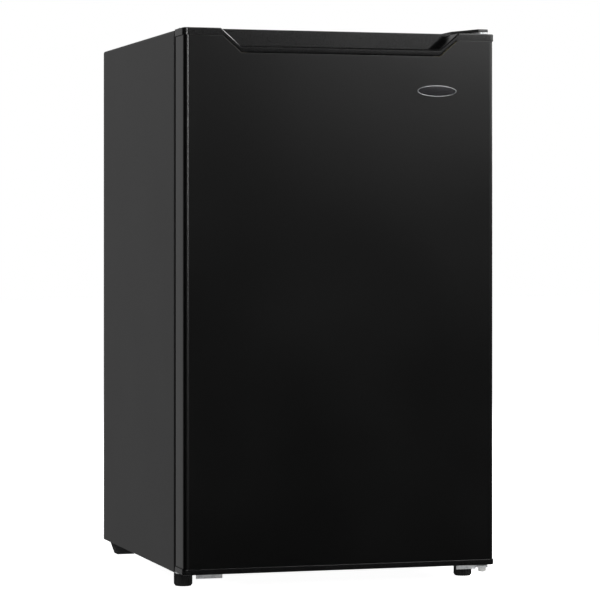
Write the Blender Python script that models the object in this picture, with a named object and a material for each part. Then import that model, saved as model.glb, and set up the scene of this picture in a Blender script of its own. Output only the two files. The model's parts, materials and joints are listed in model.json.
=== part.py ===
"""Compact refrigerator with one right-hinged door, modelled as separate pieces.

Metres, +Z up, +X to the right and -Y to the front. The origin is on the floor, under the
middle of the body. Every size below can be changed by itself, and the pieces follow it.
"""

from math import cos, pi, radians, sin, tan

import bmesh
import bpy
from mathutils import Matrix, Vector

# Overall
CABINET_WIDTH = 0.485
CABINET_HEIGHT = 0.807
OVERALL_DEPTH = 0.538
FOOT_HEIGHT = 0.023
GAP = 0.0003
PROUD = 0.001  # how far the badge and the rear screws stand out
CLEAR = 0.01  # how far a cutter runs past what it cuts

# Sheet metal and plastic
SHEET = 0.001
LINER_WALL = 0.0018
WRAP_RADIUS = 0.004
FLANGE = 0.030  # steel face round the door opening
REAR_FLANGE = 0.014
LIP_OVERLAP = 0.006

# Cabin
SIDE_WALL = 0.0395  # side of the body to the inside of the liner
TOP_WALL = 0.047
FLOOR_WALL = 0.042
REAR_WALL = 0.044
LINER_RADIUS = 0.014
BAY_DEPTH = 0.144
BAY_HEIGHT = 0.187
BAY_INSULATION = 0.031

# Shelves and crisper
RIB_WIDTH = 0.009
RIB_HEIGHT = 0.007
SHELF_FRONT_Y = -0.085
SHELF_GLASS = 0.004
SHELF_SIDE_GAP = 0.0015
UPPER_BAY = 0.173  # from the upper shelf to the cabin's roof
TRIM_WALL = 0.002
TRIM_DEPTH = 0.012
DRAWER_WALL = 0.0025
DRAWER_TOP_GAP = 0.022
DRAWER_SIDE_GAP = 0.012
DRAWER_BEVEL = 0.006
DRAWER_LIP = (0.090, 0.010, 0.004)  # half its length, its reach and its height

# Thermostat
HOUSING_SIZE = (0.034, 0.110, 0.062)
HOUSING_TOP_GAP = 0.012
KNOB_RADIUS = 0.016
KNOB_HEIGHT = 0.013
KNOB_TAPER = 0.001
KNOB_RIDGE = (0.0025, 0.003)  # half its width, and its height
SPINDLE_RADIUS = 0.0035
HOUSING_WALL = 0.002

# Door
DOOR_THICKNESS = 0.052
GASKET_DEPTH = 0.0105
DOOR_RAISE = 0.002  # door's bottom above the body's bottom
EDGE_RADIUS = 0.009  # where the door's sides turn into its front
HEM_LENGTH = 0.005  # rear end of the door's sides, which turns in
HEM_TURN = 0.0006
CAP_OVERHANG = 0.0015
CAP_BEVEL = 0.0015
TOP_CAP_HEIGHT = 0.0107
BOTTOM_CAP_HEIGHT = 0.0085
RIDGE_HEIGHT = 0.002
RIDGE_WIDTH = 0.007
RIDGE_INSET = 0.006
DOOR_FLANGE = 0.014
GASKET_INSET = 0.010
GASKET_WIDTH = 0.018
DYKE_HALF_WIDTH = 0.190
DYKE_WIDTH = 0.016
DYKE_DEPTH = 0.036
DYKE_MARGIN = 0.008  # between the dyke and the liner's floor and roof
RACK_DEPTH = 0.094
RACK_WALL = 0.0025
RACK_BEVEL = 0.003
LOWER_RACK_HEIGHT = 0.085
SMALL_RACK_HEIGHT = 0.062
LOWER_RACK_RISE = 0.027  # from the cabin's floor
UPPER_RACK_DROP = 0.178  # from the cabin's roof
MIDDLE_RACK_SHARE = 0.6  # of the way up from the lower rack to the upper one

# Handle recess in the door's top cap
NOTCH_TOP_HALF = 0.1965
NOTCH_BOTTOM_HALF = 0.1555
NOTCH_DEPTH = 0.036
RECESS_RIM = 0.011
RECESS_DEPTH = 0.042
RECESS_LIP = 0.006
RIM_ROUND = 0.0025  # along both edges of the recess's rim
POCKET_DROP = 0.020
POCKET_WALL = 0.002

# Badge
BADGE_LENGTH = 0.062
BADGE_HEIGHT = 0.0167
BADGE_FROM_RIGHT = 0.092
BADGE_BELOW_TOP = 0.088

# Hinges
HINGE_FROM_SIDE = 0.014
HINGE_FROM_FRONT = 0.015
HINGE_PLATE = 0.003
TOP_HINGE_PLATE = 0.0025
PLATE_INSET = 0.003  # top plate's edge, inside the cover's
PIN_TAPER = 0.001
BOTTOM_PLATE_WIDTH = 0.036
FRONT_PLATE_DEPTH = 0.055
LIP_GAP = 0.0015  # between a plate's lip and the foot
PIN_RADIUS = 0.004
PIN_CLEARANCE = 0.0003
PIN_REACH = 0.020  # into the door
PIN_HEAD = 0.002  # how much wider than the pin
TOP_ARM_MARGIN = 0.0055  # round the pin
BOTTOM_ARM_MARGIN = 0.0048
BUSH_WALL = 0.0022
BOSS_WALL = 0.003
BOSS_HEIGHT = 0.010  # beyond the door's caps, into the foam
COVER_HEIGHT = 0.0075
COVER_WALL = 0.0012
COVER_WIDTH = 0.046
COVER_LENGTH = 0.060  # on the body's top
NUT_RADIUS = 0.0062
NUT_HEIGHT = 0.005

# Feet
FOOT_RADIUS = 0.014
FOOT_FROM_SIDE = 0.020
FOOT_FROM_FRONT = 0.022
STEM_RADIUS = 0.004
STEM_REACH = 0.014  # above the body's bottom
REAR_FOOT_SIZE = (0.044, 0.030)
REAR_FOOT_FROM_SIDE = 0.009
REAR_FOOT_TAPER = 0.008
BRACKET_DROP = 0.0085
LEFT_PLATE_SPAN = (0.006, 0.076)  # from the body's left side
FOOT_CHAMFER = 0.003
FLUTE = 0.0005

# Compressor bay
MOUNT_PLATE = 0.0015
MOUNT_PLATE_DEPTH = 0.117
MOUNT_FLANGE = 0.022
COMPRESSOR_RADIUS = 0.056
COMPRESSOR_STRETCH = 1.32
COMPRESSOR_HEIGHT = 0.122
COMPRESSOR_X = -0.035
GROMMET_HEIGHT = 0.010
GROMMET_RADIUS = 0.010
TUBE_RADIUS = 0.003
COIL_BEND = 0.021
COIL_MARGIN = 0.048  # from the coil to the bay and to the body's top
EVAPORATOR_SHEET = 0.0015
EVAPORATOR_INSET = 0.050
DRIER_RADIUS = 0.009
DRIER_LENGTH = 0.085
SUCTION_REACH = 0.040
DISCHARGE_RUN = 0.050
RELAY_SIZE = (0.040, 0.026, 0.058)  # length, half its depth, and height
RELAY_RISE = 0.030  # above the compressor's foot
GLAND_RADIUS = 0.009
GLAND_LENGTH = 0.014
TRAY_SIZE = (0.120, 0.082, 0.020)
TRAY_WALL = 0.002
DRAIN_RADIUS = 0.0075
DRAIN_WALL = 0.0012
SCREW_RADIUS = 0.002
SCREW_HEAD = 0.004
SCREW_REACH = 0.005

# Planes and lines worked out from the sizes above
HALF = CABINET_WIDTH / 2
BOTTOM_Z = FOOT_HEIGHT
TOP_Z = BOTTOM_Z + CABINET_HEIGHT
DOOR_FRONT_Y = -OVERALL_DEPTH / 2
DOOR_BACK_Y = DOOR_FRONT_Y + DOOR_THICKNESS
FRONT_Y = DOOR_BACK_Y + GASKET_DEPTH
BACK_Y = OVERALL_DEPTH / 2
LINER_HALF = HALF - SIDE_WALL
LINER_TOP = TOP_Z - TOP_WALL
LINER_FLOOR = BOTTOM_Z + FLOOR_WALL
LINER_BACK = BACK_Y - REAR_WALL
BAY_FRONT = BACK_Y - BAY_DEPTH
BAY_TOP = BOTTOM_Z + BAY_HEIGHT
HUMP_FRONT = BAY_FRONT - BAY_INSULATION
HUMP_TOP = BAY_TOP + BAY_INSULATION
LINER_START = FRONT_Y + SHEET + GAP
FOAM_START = LINER_START + LINER_WALL + GAP
REAR_FLANGE_Y = BACK_Y - 2 * SHEET - GAP
BASE_FLANGE_TOP = LINER_FLOOR - (FLANGE - REAR_FLANGE) / 2
DOOR_BOTTOM = BOTTOM_Z + DOOR_RAISE
CAP_HALF = HALF + CAP_OVERHANG
SKIN_TOP = TOP_Z - TOP_CAP_HEIGHT - GAP
SKIN_BOTTOM = DOOR_BOTTOM + BOTTOM_CAP_HEIGHT + GAP
PIN_X = HALF - HINGE_FROM_SIDE
PIN_Y = DOOR_FRONT_Y + HINGE_FROM_FRONT
BUSH_RADIUS = PIN_RADIUS + PIN_CLEARANCE + BUSH_WALL
FOOT_X = HALF - FOOT_FROM_SIDE
FOOT_Y = FRONT_Y + FOOT_FROM_FRONT
PLATE_TOP = BOTTOM_Z - GAP
CRISPER_COVER_Z = HUMP_TOP - SHELF_GLASS
UPPER_SHELF_Z = LINER_TOP - UPPER_BAY
MIDDLE_SHELF_Z = (CRISPER_COVER_Z + UPPER_SHELF_Z) / 2
LOWER_RACK_Z = LINER_FLOOR + LOWER_RACK_RISE
UPPER_RACK_Z = LINER_TOP - UPPER_RACK_DROP
MIDDLE_RACK_Z = LOWER_RACK_Z + MIDDLE_RACK_SHARE * (UPPER_RACK_Z - LOWER_RACK_Z)
MOUNT_PLATE_Y = (BACK_Y - MOUNT_PLATE_DEPTH, BACK_Y - GAP)
COMPRESSOR_HALF = COMPRESSOR_RADIUS * COMPRESSOR_STRETCH
COMPRESSOR_Y = BACK_Y - MOUNT_PLATE_DEPTH / 2
COMPRESSOR_Z = BOTTOM_Z + MOUNT_PLATE + GROMMET_HEIGHT + 3 * GAP
DRIER_FOOT = (HALF - SUCTION_REACH, COMPRESSOR_Y + 2 * CLEAR, 2 * BOTTOM_Z + MOUNT_FLANGE)
DRAIN_FLANGE = 0.003
DRAIN_Y = LINER_BACK - LINER_RADIUS - DRAIN_RADIUS - DRAIN_FLANGE - 2 * GAP

BLACK_PAINT = ((0.022, 0.022, 0.023), 0.35, 0.3)
BLACK_PLASTIC = ((0.018, 0.018, 0.019), 0.45, 0.0)
WHITE_PLASTIC = ((0.82, 0.83, 0.84), 0.35, 0.0)
CLEAR_PLASTIC = ((0.75, 0.80, 0.83), 0.15, 0.0)
GLASS = ((0.62, 0.74, 0.72), 0.05, 0.0)
FOAM = ((0.80, 0.72, 0.50), 0.95, 0.0)
GALVANISED = ((0.62, 0.63, 0.64), 0.40, 0.9)
ZINC = ((0.70, 0.70, 0.69), 0.30, 1.0)
COPPER = ((0.75, 0.38, 0.22), 0.30, 1.0)
ALUMINIUM = ((0.78, 0.79, 0.80), 0.35, 1.0)
RUBBER = ((0.03, 0.03, 0.03), 0.85, 0.0)
GASKET_GREY = ((0.10, 0.10, 0.10), 0.75, 0.0)
BADGE_GREY = ((0.05, 0.05, 0.055), 0.25, 0.4)


def material_for(name, look):
    """A Principled material for one piece: its colour, roughness and metallic value."""
    colour, roughness, metallic = look
    material = bpy.data.materials.new(name)
    material.use_nodes = True
    shader = material.node_tree.nodes["Principled BSDF"]
    shader.inputs["Base Color"].default_value = (*colour, 1.0)
    shader.inputs["Roughness"].default_value = roughness
    shader.inputs["Metallic"].default_value = metallic
    material.diffuse_color = (*colour, 1.0)
    return material


def object_from(bm, name, look=None):
    """Turns a bmesh in world coordinates into an object, smooth where its faces nearly agree."""
    bmesh.ops.recalc_face_normals(bm, faces=bm.faces)
    mesh = bpy.data.meshes.new(name)
    bm.to_mesh(mesh)
    bm.free()
    if look:
        mesh.materials.append(material_for(name, look))
    obj = bpy.data.objects.new(name, mesh)
    bpy.context.scene.collection.objects.link(obj)
    return obj


def shade(obj, angle=0.6):
    """Smooth shading, with the edges sharper than the angle kept crisp."""
    obj.data.shade_smooth()
    obj.data.set_sharp_from_angle(angle=angle)


def combine(obj, tool, operation):
    """Cuts a tool from an object, or joins it to it, and removes the tool."""
    modifier = obj.modifiers.new(operation.title(), "BOOLEAN")
    modifier.operation = operation
    modifier.solver = "EXACT"
    modifier.object = tool
    graph = bpy.context.evaluated_depsgraph_get()
    joined = bpy.data.meshes.new_from_object(obj.evaluated_get(graph))
    obj.modifiers.clear()
    materials = list(obj.data.materials)
    obj.data = joined
    joined.materials.clear()
    for material in materials:
        joined.materials.append(material)
    for face in joined.polygons:
        face.material_index = 0
    bpy.data.objects.remove(tool)
    return obj


def cut(obj, *tools):
    """Takes each tool's shape out of the object."""
    for tool in tools:
        combine(obj, tool, "DIFFERENCE")
    return obj


def join(obj, *tools):
    """Adds each tool's shape to the object as one body."""
    for tool in tools:
        combine(obj, tool, "UNION")
    return obj


def add_box(bm, low, high):
    """Adds a box between two corners."""
    size = Vector(high) - Vector(low)
    centre = (Vector(high) + Vector(low)) / 2
    matrix = Matrix.Translation(centre) @ Matrix.Diagonal((*size, 1.0))
    return bmesh.ops.create_cube(bm, size=1.0, matrix=matrix)["verts"]


def box(low, high, name="tool", look=None, bevel=0.0):
    """A box between two corners, with its edges rounded by the bevel."""
    bm = bmesh.new()
    add_box(bm, low, high)
    if bevel:
        bmesh.ops.bevel(bm, geom=bm.edges, offset=bevel, segments=2, profile=0.5, affect="EDGES")
    return object_from(bm, name, look)


def stretched(outline, plane, start, end, name="tool", look=None, end_outline=None):
    """An outline drawn in a plane ("XY", "XZ" or "YZ") and stretched along the third axis."""
    third = ({"X", "Y", "Z"} - set(plane)).pop()
    order = [(plane + third).index(axis) for axis in "XYZ"]
    bm = bmesh.new()
    rings = []
    for points, height in ((outline, start), (end_outline or outline, end)):
        rings.append([bm.verts.new([(*point, height)[i] for i in order]) for point in points])
    for ring in rings:
        bm.faces.new(ring)
    count = len(outline)
    for i in range(count):
        j = (i + 1) % count
        bm.faces.new((rings[0][i], rings[0][j], rings[1][j], rings[1][i]))
    return object_from(bm, name, look)


def turned(profile, axis, origin, name="tool", look=None, steps=24):
    """A profile of (radius, height) points turned about an axis through the origin."""
    bm = bmesh.new()
    turn = Vector((0, 0, 1)).rotation_difference(Vector(axis)).to_matrix().to_4x4()
    place = Matrix.Translation(origin) @ turn
    rings = []
    for radius, height in profile:
        if radius == 0:
            rings.append([bm.verts.new(place @ Vector((0, 0, height)))])
            continue
        angles = [2 * pi * i / steps for i in range(steps)]
        rings.append(
            [bm.verts.new(place @ Vector((radius * cos(a), radius * sin(a), height))) for a in angles]
        )
    closed = profile[0][0] != 0
    pairs = list(zip(rings, rings[1:] + rings[:1])) if closed else list(zip(rings, rings[1:]))
    for lower, upper in pairs:
        for i in range(steps):
            j = (i + 1) % steps
            corners = [ring[k % len(ring)] for ring, k in ((lower, i), (lower, j), (upper, j), (upper, i))]
            bm.faces.new(dict.fromkeys(corners))
    obj = object_from(bm, name, look)
    shade(obj)
    return obj


def rod(radius, low, high, at, axis=(0, 0, 1), name="tool", look=None, steps=24):
    """A plain round rod from low to high along an axis through a point."""
    profile = [(0, low), (radius, low), (radius, high), (0, high)]
    return turned(profile, axis, at, name, look, steps)


def sleeve(inner, outer, low, high, at, name, look):
    """A round tube standing on Z."""
    return turned([(inner, low), (outer, low), (outer, high), (inner, high)], (0, 0, 1), at, name, look)


def arc(centre, radius, start, end, steps=5):
    """Points along an arc, in degrees, both ends included."""
    turn = [(start + (end - start) * i / steps) * pi / 180 for i in range(steps + 1)]
    return [(centre[0] + radius * cos(a), centre[1] + radius * sin(a)) for a in turn]


def portal(half, top, bottom, radius):
    """Outline of the body seen from the front: square feet, rounded shoulders."""
    right = arc((half - radius, top - radius), radius, 0, 90)
    left = arc((radius - half, top - radius), radius, 90, 180)
    return [(half, bottom), *right, *left, (-half, bottom)]


def frame_ring(profile, half, low, high, name, look=None):
    """A mitred rectangular frame: the profile gives (inset, y) points, swept round the rectangle."""
    bm = bmesh.new()
    rings = []
    for inset, y in profile:
        x, z0, z1 = half - inset, low + inset, high - inset
        rings.append([bm.verts.new((a, y, b)) for a, b in ((-x, z0), (x, z0), (x, z1), (-x, z1))])
    for ring, after in zip(rings, rings[1:] + rings[:1]):
        for i in range(4):
            j = (i + 1) % 4
            bm.faces.new((ring[i], ring[j], after[j], after[i]))
    return object_from(bm, name, look)


def tube(points, radius, name, look, bevel_resolution=1):
    """A round tube along points, as a curve with filled caps."""
    curve = bpy.data.curves.new(name, "CURVE")
    curve.dimensions = "3D"
    curve.bevel_depth = radius
    curve.bevel_resolution = bevel_resolution
    curve.use_fill_caps = True
    spline = curve.splines.new("POLY")
    spline.points.add(len(points) - 1)
    for point, place in zip(spline.points, points):
        point.co = (*place, 1.0)
    curve.materials.append(material_for(name, look))
    obj = bpy.data.objects.new(name, curve)
    bpy.context.scene.collection.objects.link(obj)
    return obj


def bent(corners, radius, steps=4):
    """A path of straight runs with each corner rounded to the radius."""
    path = [Vector(corners[0])]
    for before, corner, after in zip(corners, corners[1:], corners[2:]):
        corner = Vector(corner)
        back = (Vector(before) - corner).normalized()
        ahead = (Vector(after) - corner).normalized()
        half_angle = back.angle(ahead) / 2
        reach = radius / tan(half_angle)
        middle = corner + (back + ahead).normalized() * radius / sin(half_angle)
        start = (corner + back * reach - middle).normalized()
        finish = (corner + ahead * reach - middle).normalized()
        for i in range(steps + 1):
            path.append(middle + start.slerp(finish, i / steps).normalized() * radius)
    path.append(Vector(corners[-1]))
    return path


def pivot(obj, point):
    """Moves an object's origin to its joint's axis, and leaves its shape where it is."""
    obj.data.transform(Matrix.Translation(-Vector(point)))
    obj.location = point


# Cabinet


def liner_form(offset, start, name="tool", look=None):
    """The cabin's shape, with its hump over the compressor bay, grown outwards by the offset."""
    outline = [
        (start, LINER_FLOOR - offset),
        (HUMP_FRONT + offset, LINER_FLOOR - offset),
        (HUMP_FRONT + offset, HUMP_TOP - offset),
        (LINER_BACK + offset, HUMP_TOP - offset),
        (LINER_BACK + offset, LINER_TOP + offset),
        (start, LINER_TOP + offset),
    ]
    half = LINER_HALF + offset
    obj = stretched(outline, "YZ", -half, half, name, look)
    bm = bmesh.new()
    bm.from_mesh(obj.data)
    edges = [e for e in bm.edges if any(v.co.y > start + GAP for v in e.verts)]
    bmesh.ops.bevel(bm, geom=edges, offset=LINER_RADIUS, segments=3, profile=0.5, affect="EDGES")
    bm.to_mesh(obj.data)
    bm.free()
    return obj


def drain_cutter():
    """The hole for the drain tube, from the hump down into the bay."""
    radius = DRAIN_RADIUS + GAP
    return rod(radius, BAY_TOP - CLEAR, HUMP_TOP + CLEAR, (0, DRAIN_Y, 0))


def back_screw_places():
    """The four screws that hold the back panel, by name."""
    x = HALF - SHEET - REAR_FLANGE / 2
    heights = {"upper": TOP_Z - 0.060, "lower": BAY_TOP + 0.050}
    sides = {"left": -x, "right": x}
    return {f"{h}_{s}": (sides[s], heights[h]) for h in heights for s in sides}


def back_screw_cutters():
    """The holes that the back panel's screws pass through."""
    return [
        rod(SCREW_RADIUS + GAP, -SCREW_REACH - PROUD, CLEAR, (x, BACK_Y, z), (0, 1, 0), steps=12)
        for x, z in back_screw_places().values()
    ]


def build_wrap():
    """The steel sides and top, one folded sheet with a face round the door opening."""
    wrap = stretched(
        portal(HALF, TOP_Z, BOTTOM_Z, WRAP_RADIUS), "XZ", FRONT_Y, BACK_Y, "cabinet_wrap", BLACK_PAINT
    )
    inner = (HALF - SHEET, TOP_Z - SHEET, BOTTOM_Z - CLEAR, WRAP_RADIUS - SHEET)
    face = (HALF - FLANGE, TOP_Z - FLANGE, BOTTOM_Z - CLEAR, WRAP_RADIUS)
    rear = (HALF - REAR_FLANGE, TOP_Z - REAR_FLANGE, BOTTOM_Z - CLEAR, WRAP_RADIUS)
    bay_low = (-HALF + SHEET, BAY_FRONT, BOTTOM_Z - CLEAR)
    bay_high = (HALF - SHEET, BACK_Y + CLEAR, BAY_TOP + SHEET + GAP)
    cut(
        wrap,
        stretched(portal(*inner), "XZ", FRONT_Y + SHEET, REAR_FLANGE_Y),
        stretched(portal(*face), "XZ", FRONT_Y - CLEAR, FRONT_Y + 3 * SHEET),
        stretched(portal(*rear), "XZ", REAR_FLANGE_Y - SHEET, BACK_Y + CLEAR),
        stretched(portal(*inner), "XZ", REAR_FLANGE_Y + SHEET, BACK_Y + CLEAR),
        box(bay_low, bay_high),
        *back_screw_cutters(),
    )
    shade(wrap)


def build_back_panel():
    """The rear sheet, folded forwards over the compressor bay and down its front wall."""
    foot = BOTTOM_Z + SHEET + GAP
    outline = [
        (BACK_Y, TOP_Z - SHEET - GAP),
        (BACK_Y, BAY_TOP),
        (BAY_FRONT, BAY_TOP),
        (BAY_FRONT, foot),
        (BAY_FRONT - SHEET, foot),
        (BAY_FRONT - SHEET, BAY_TOP + SHEET),
        (BACK_Y - SHEET, BAY_TOP + SHEET),
        (BACK_Y - SHEET, TOP_Z - SHEET - GAP),
    ]
    half = HALF - SHEET - GAP
    panel = stretched(outline, "YZ", -half, half, "back_panel", BLACK_PAINT)
    shoulders = portal(half, TOP_Z - SHEET - GAP, BOTTOM_Z - CLEAR, WRAP_RADIUS - SHEET)
    around = portal(half + 2 * CLEAR, TOP_Z + 2 * CLEAR, BOTTOM_Z - 2 * CLEAR, CLEAR)
    frame = stretched(around, "XZ", -BACK_Y, BACK_Y + CLEAR)
    cut(frame, stretched(shoulders, "XZ", -BACK_Y - CLEAR, BACK_Y + 2 * CLEAR))
    cut(panel, frame, *back_screw_cutters(), drain_cutter())


def build_base_panel():
    """The steel floor, turned up at the front as the lower face of the door opening."""
    half = HALF - SHEET - GAP
    base = box((-half, LINER_START, BOTTOM_Z), (half, BAY_FRONT, BOTTOM_Z + SHEET), "base_panel", BLACK_PAINT)
    narrow = HALF - FLANGE - GAP
    join(
        base,
        box((-narrow, FRONT_Y, BOTTOM_Z), (narrow, LINER_START + SHEET, BOTTOM_Z + SHEET)),
        box((-narrow, FRONT_Y, BOTTOM_Z), (narrow, FRONT_Y + SHEET, BASE_FLANGE_TOP)),
    )
    cut(base, stem_cutter(-1), stem_cutter(1))


def stem_cutter(side):
    """The hole for one front foot's stem, from the floor to just above its end."""
    reach = BOTTOM_Z + STEM_REACH + 3 * GAP
    return rod(STEM_RADIUS + GAP, 0, reach, (side * FOOT_X, FOOT_Y, 0), steps=16)


def build_liner():
    """The white cabin, with its lip behind the steel face, shelf ribs and drain hole."""
    liner = liner_form(LINER_WALL, LINER_START, "inner_liner", WHITE_PLASTIC)
    lip_half = HALF - FLANGE + LIP_OVERLAP
    lip_low = (-lip_half, LINER_START, BASE_FLANGE_TOP - LIP_OVERLAP)
    lip_high = (lip_half, LINER_START + LINER_WALL, TOP_Z - FLANGE + LIP_OVERLAP)
    join(liner, box(lip_low, lip_high))
    cut(liner, liner_form(0, LINER_START - CLEAR), drain_cutter())
    for shelf_z, rear in rib_rows():
        for side in (-1, 1):
            inner = side * (LINER_HALF - RIB_WIDTH)
            outer = side * (LINER_HALF + LINER_WALL / 2)
            low = (min(inner, outer), SHELF_FRONT_Y + 1.3 * TRIM_DEPTH, shelf_z - GAP - RIB_HEIGHT)
            high = (max(inner, outer), rear, shelf_z - GAP)
            join(liner, box(low, high, bevel=RIB_HEIGHT / 6))
    shade(liner, 0.5)


def rib_rows():
    """Height and rear end of each row of ribs that carries a shelf or the crisper's cover."""
    rear = LINER_BACK - LINER_RADIUS
    return [(UPPER_SHELF_Z, rear), (MIDDLE_SHELF_Z, rear), (CRISPER_COVER_Z, HUMP_FRONT - LINER_RADIUS)]


def evaporator_box(grow):
    """Low and high corners of the cold plate behind the liner's rear wall."""
    front = LINER_BACK + LINER_WALL + GAP
    half = LINER_HALF - EVAPORATOR_INSET
    low = Vector((-half, front, HUMP_TOP + EVAPORATOR_INSET))
    high = Vector((half, front + EVAPORATOR_SHEET, LINER_TOP - EVAPORATOR_INSET))
    margin = Vector((grow, grow, grow))
    return low - margin, high + margin


def build_foam():
    """The insulation between the steel and the liner."""
    half = HALF - SHEET - GAP
    top = TOP_Z - SHEET - GAP
    floor = BOTTOM_Z + SHEET + GAP
    rear = REAR_FLANGE_Y - GAP
    foam = stretched(
        portal(half, top, floor, WRAP_RADIUS - SHEET), "XZ", FOAM_START, rear, "cabinet_foam", FOAM
    )
    bay_low = (-half - CLEAR, BAY_FRONT - SHEET - GAP, floor - CLEAR)
    bay_high = (half + CLEAR, BACK_Y, BAY_TOP + SHEET + GAP)
    coil_half = condenser_half() + TUBE_RADIUS + GAP
    coil_low = (-coil_half, rear - 2 * TUBE_RADIUS - 2 * GAP, BAY_TOP + COIL_MARGIN - COIL_BEND)
    coil_high = (coil_half, BACK_Y, TOP_Z - COIL_MARGIN + COIL_BEND)
    cut(
        foam,
        box(bay_low, bay_high),
        liner_form(LINER_WALL + GAP, FOAM_START - CLEAR),
        box(*evaporator_box(GAP)),
        box(coil_low, coil_high),
        drain_cutter(),
        stem_cutter(-1),
        stem_cutter(1),
        *back_screw_cutters(),
    )


def condenser_half():
    """Half the width of the condenser's coil, measured to the middle of its tube."""
    return LINER_HALF - COIL_BEND / 2


def build_condenser():
    """The hidden condenser: a serpentine tube against the inside of the back panel."""
    y = REAR_FLANGE_Y - GAP - TUBE_RADIUS - GAP
    bend = COIL_BEND
    half = condenser_half() - bend
    bottom = BAY_TOP + COIL_MARGIN
    rows = int((TOP_Z - COIL_MARGIN - bottom) / (2 * bend))
    path = []
    for row in range(rows + 1):
        z = bottom + 2 * bend * row
        side = 1 if row % 2 == 0 else -1
        path += [(-side * half, y, z), (side * half, y, z)]
        if row < rows:
            turns = arc((half, z + bend), bend, -90, 90, 6)[1:-1]
            path += [(side * x, y, height) for x, height in turns]
    tube(path, TUBE_RADIUS * 0.8, "condenser_coil", COPPER)


def build_drain():
    """The drain tube from the liner down to the tray on the compressor."""
    low, seat = BAY_TOP - 2 * DRAIN_FLANGE, HUMP_TOP + GAP
    high = seat + DRAIN_WALL
    flange = DRAIN_RADIUS + DRAIN_FLANGE
    inner = DRAIN_RADIUS - DRAIN_WALL
    profile = [
        (inner, low),
        (DRAIN_RADIUS, low),
        (DRAIN_RADIUS, seat),
        (flange, seat),
        (flange, high),
        (inner, high),
    ]
    turned(profile, (0, 0, 1), (0, DRAIN_Y, 0), "drain_tube", WHITE_PLASTIC, 20)


def build_back_screws():
    """The screws that hold the back panel to the steel wrap."""
    for place, (x, z) in back_screw_places().items():
        profile = [
            (0, -SCREW_REACH),
            (SCREW_RADIUS, -SCREW_REACH),
            (SCREW_RADIUS, GAP),
            (SCREW_HEAD, GAP),
            (SCREW_HEAD * 0.7, PROUD),
            (0, PROUD),
        ]
        turned(profile, (0, 1, 0), (x, BACK_Y, z), f"back_screw_{place}", ZINC, 12)


# Shelves, crisper and thermostat


def build_shelf(name, z, rear):
    """A glass shelf and the plastic trim that holds its front edge."""
    half = LINER_HALF - SHELF_SIDE_GAP
    front = SHELF_FRONT_Y + TRIM_WALL + GAP
    corner, side = rear - LINER_RADIUS, half - LINER_RADIUS
    plan = [
        (half, front),
        *arc((side, corner), LINER_RADIUS, 0, 90, 3),
        *arc((-side, corner), LINER_RADIUS, 90, 180, 3),
        (-half, front),
    ]
    stretched(plan, "XY", z, z + SHELF_GLASS, f"{name}_glass", GLASS)
    low, high = z - TRIM_WALL - GAP, z + SHELF_GLASS + GAP + TRIM_WALL
    back = SHELF_FRONT_Y + TRIM_DEPTH
    inside = SHELF_FRONT_Y + TRIM_WALL
    outline = [
        (SHELF_FRONT_Y, low),
        (back, low),
        (back, z - GAP),
        (inside, z - GAP),
        (inside, z + SHELF_GLASS + GAP),
        (back, z + SHELF_GLASS + GAP),
        (back, high),
        (SHELF_FRONT_Y + TRIM_WALL / 2, high),
        (SHELF_FRONT_Y, high - TRIM_WALL / 2),
    ]
    stretched(outline, "YZ", -half, half, f"{name}_trim", WHITE_PLASTIC)


def build_crisper_drawer():
    """The clear drawer under its glass cover, with a finger lip at the front."""
    half = LINER_HALF - DRAWER_SIDE_GAP
    low = LINER_FLOOR + GAP
    front, rear = SHELF_FRONT_Y, HUMP_FRONT - LINER_RADIUS
    top = CRISPER_COVER_Z - DRAWER_TOP_GAP
    drawer = box((-half, front, low), (half, rear, top), "crisper_drawer", CLEAR_PLASTIC, DRAWER_BEVEL)
    inner, wall = half - DRAWER_WALL, DRAWER_WALL
    cut(
        drawer,
        box(
            (-inner, front + wall, low + wall), (inner, rear - wall, top + 2 * CLEAR),
            bevel=DRAWER_BEVEL - wall,
        ),
    )
    lip_half, lip_reach, lip_height = DRAWER_LIP
    lip_top = top - 2 * lip_height
    join(
        drawer,
        box(
            (-lip_half, front - lip_reach, lip_top - lip_height), (lip_half, front + wall / 2, lip_top),
            bevel=lip_height / 4,
        ),
    )
    shade(drawer, 0.5)


def knob_centre():
    """The thermostat knob's axis, where it leaves the housing."""
    z = LINER_TOP - HOUSING_TOP_GAP - HOUSING_SIZE[2] / 2
    return Vector((LINER_HALF - GAP - HOUSING_SIZE[0], 0.0, z))


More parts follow.
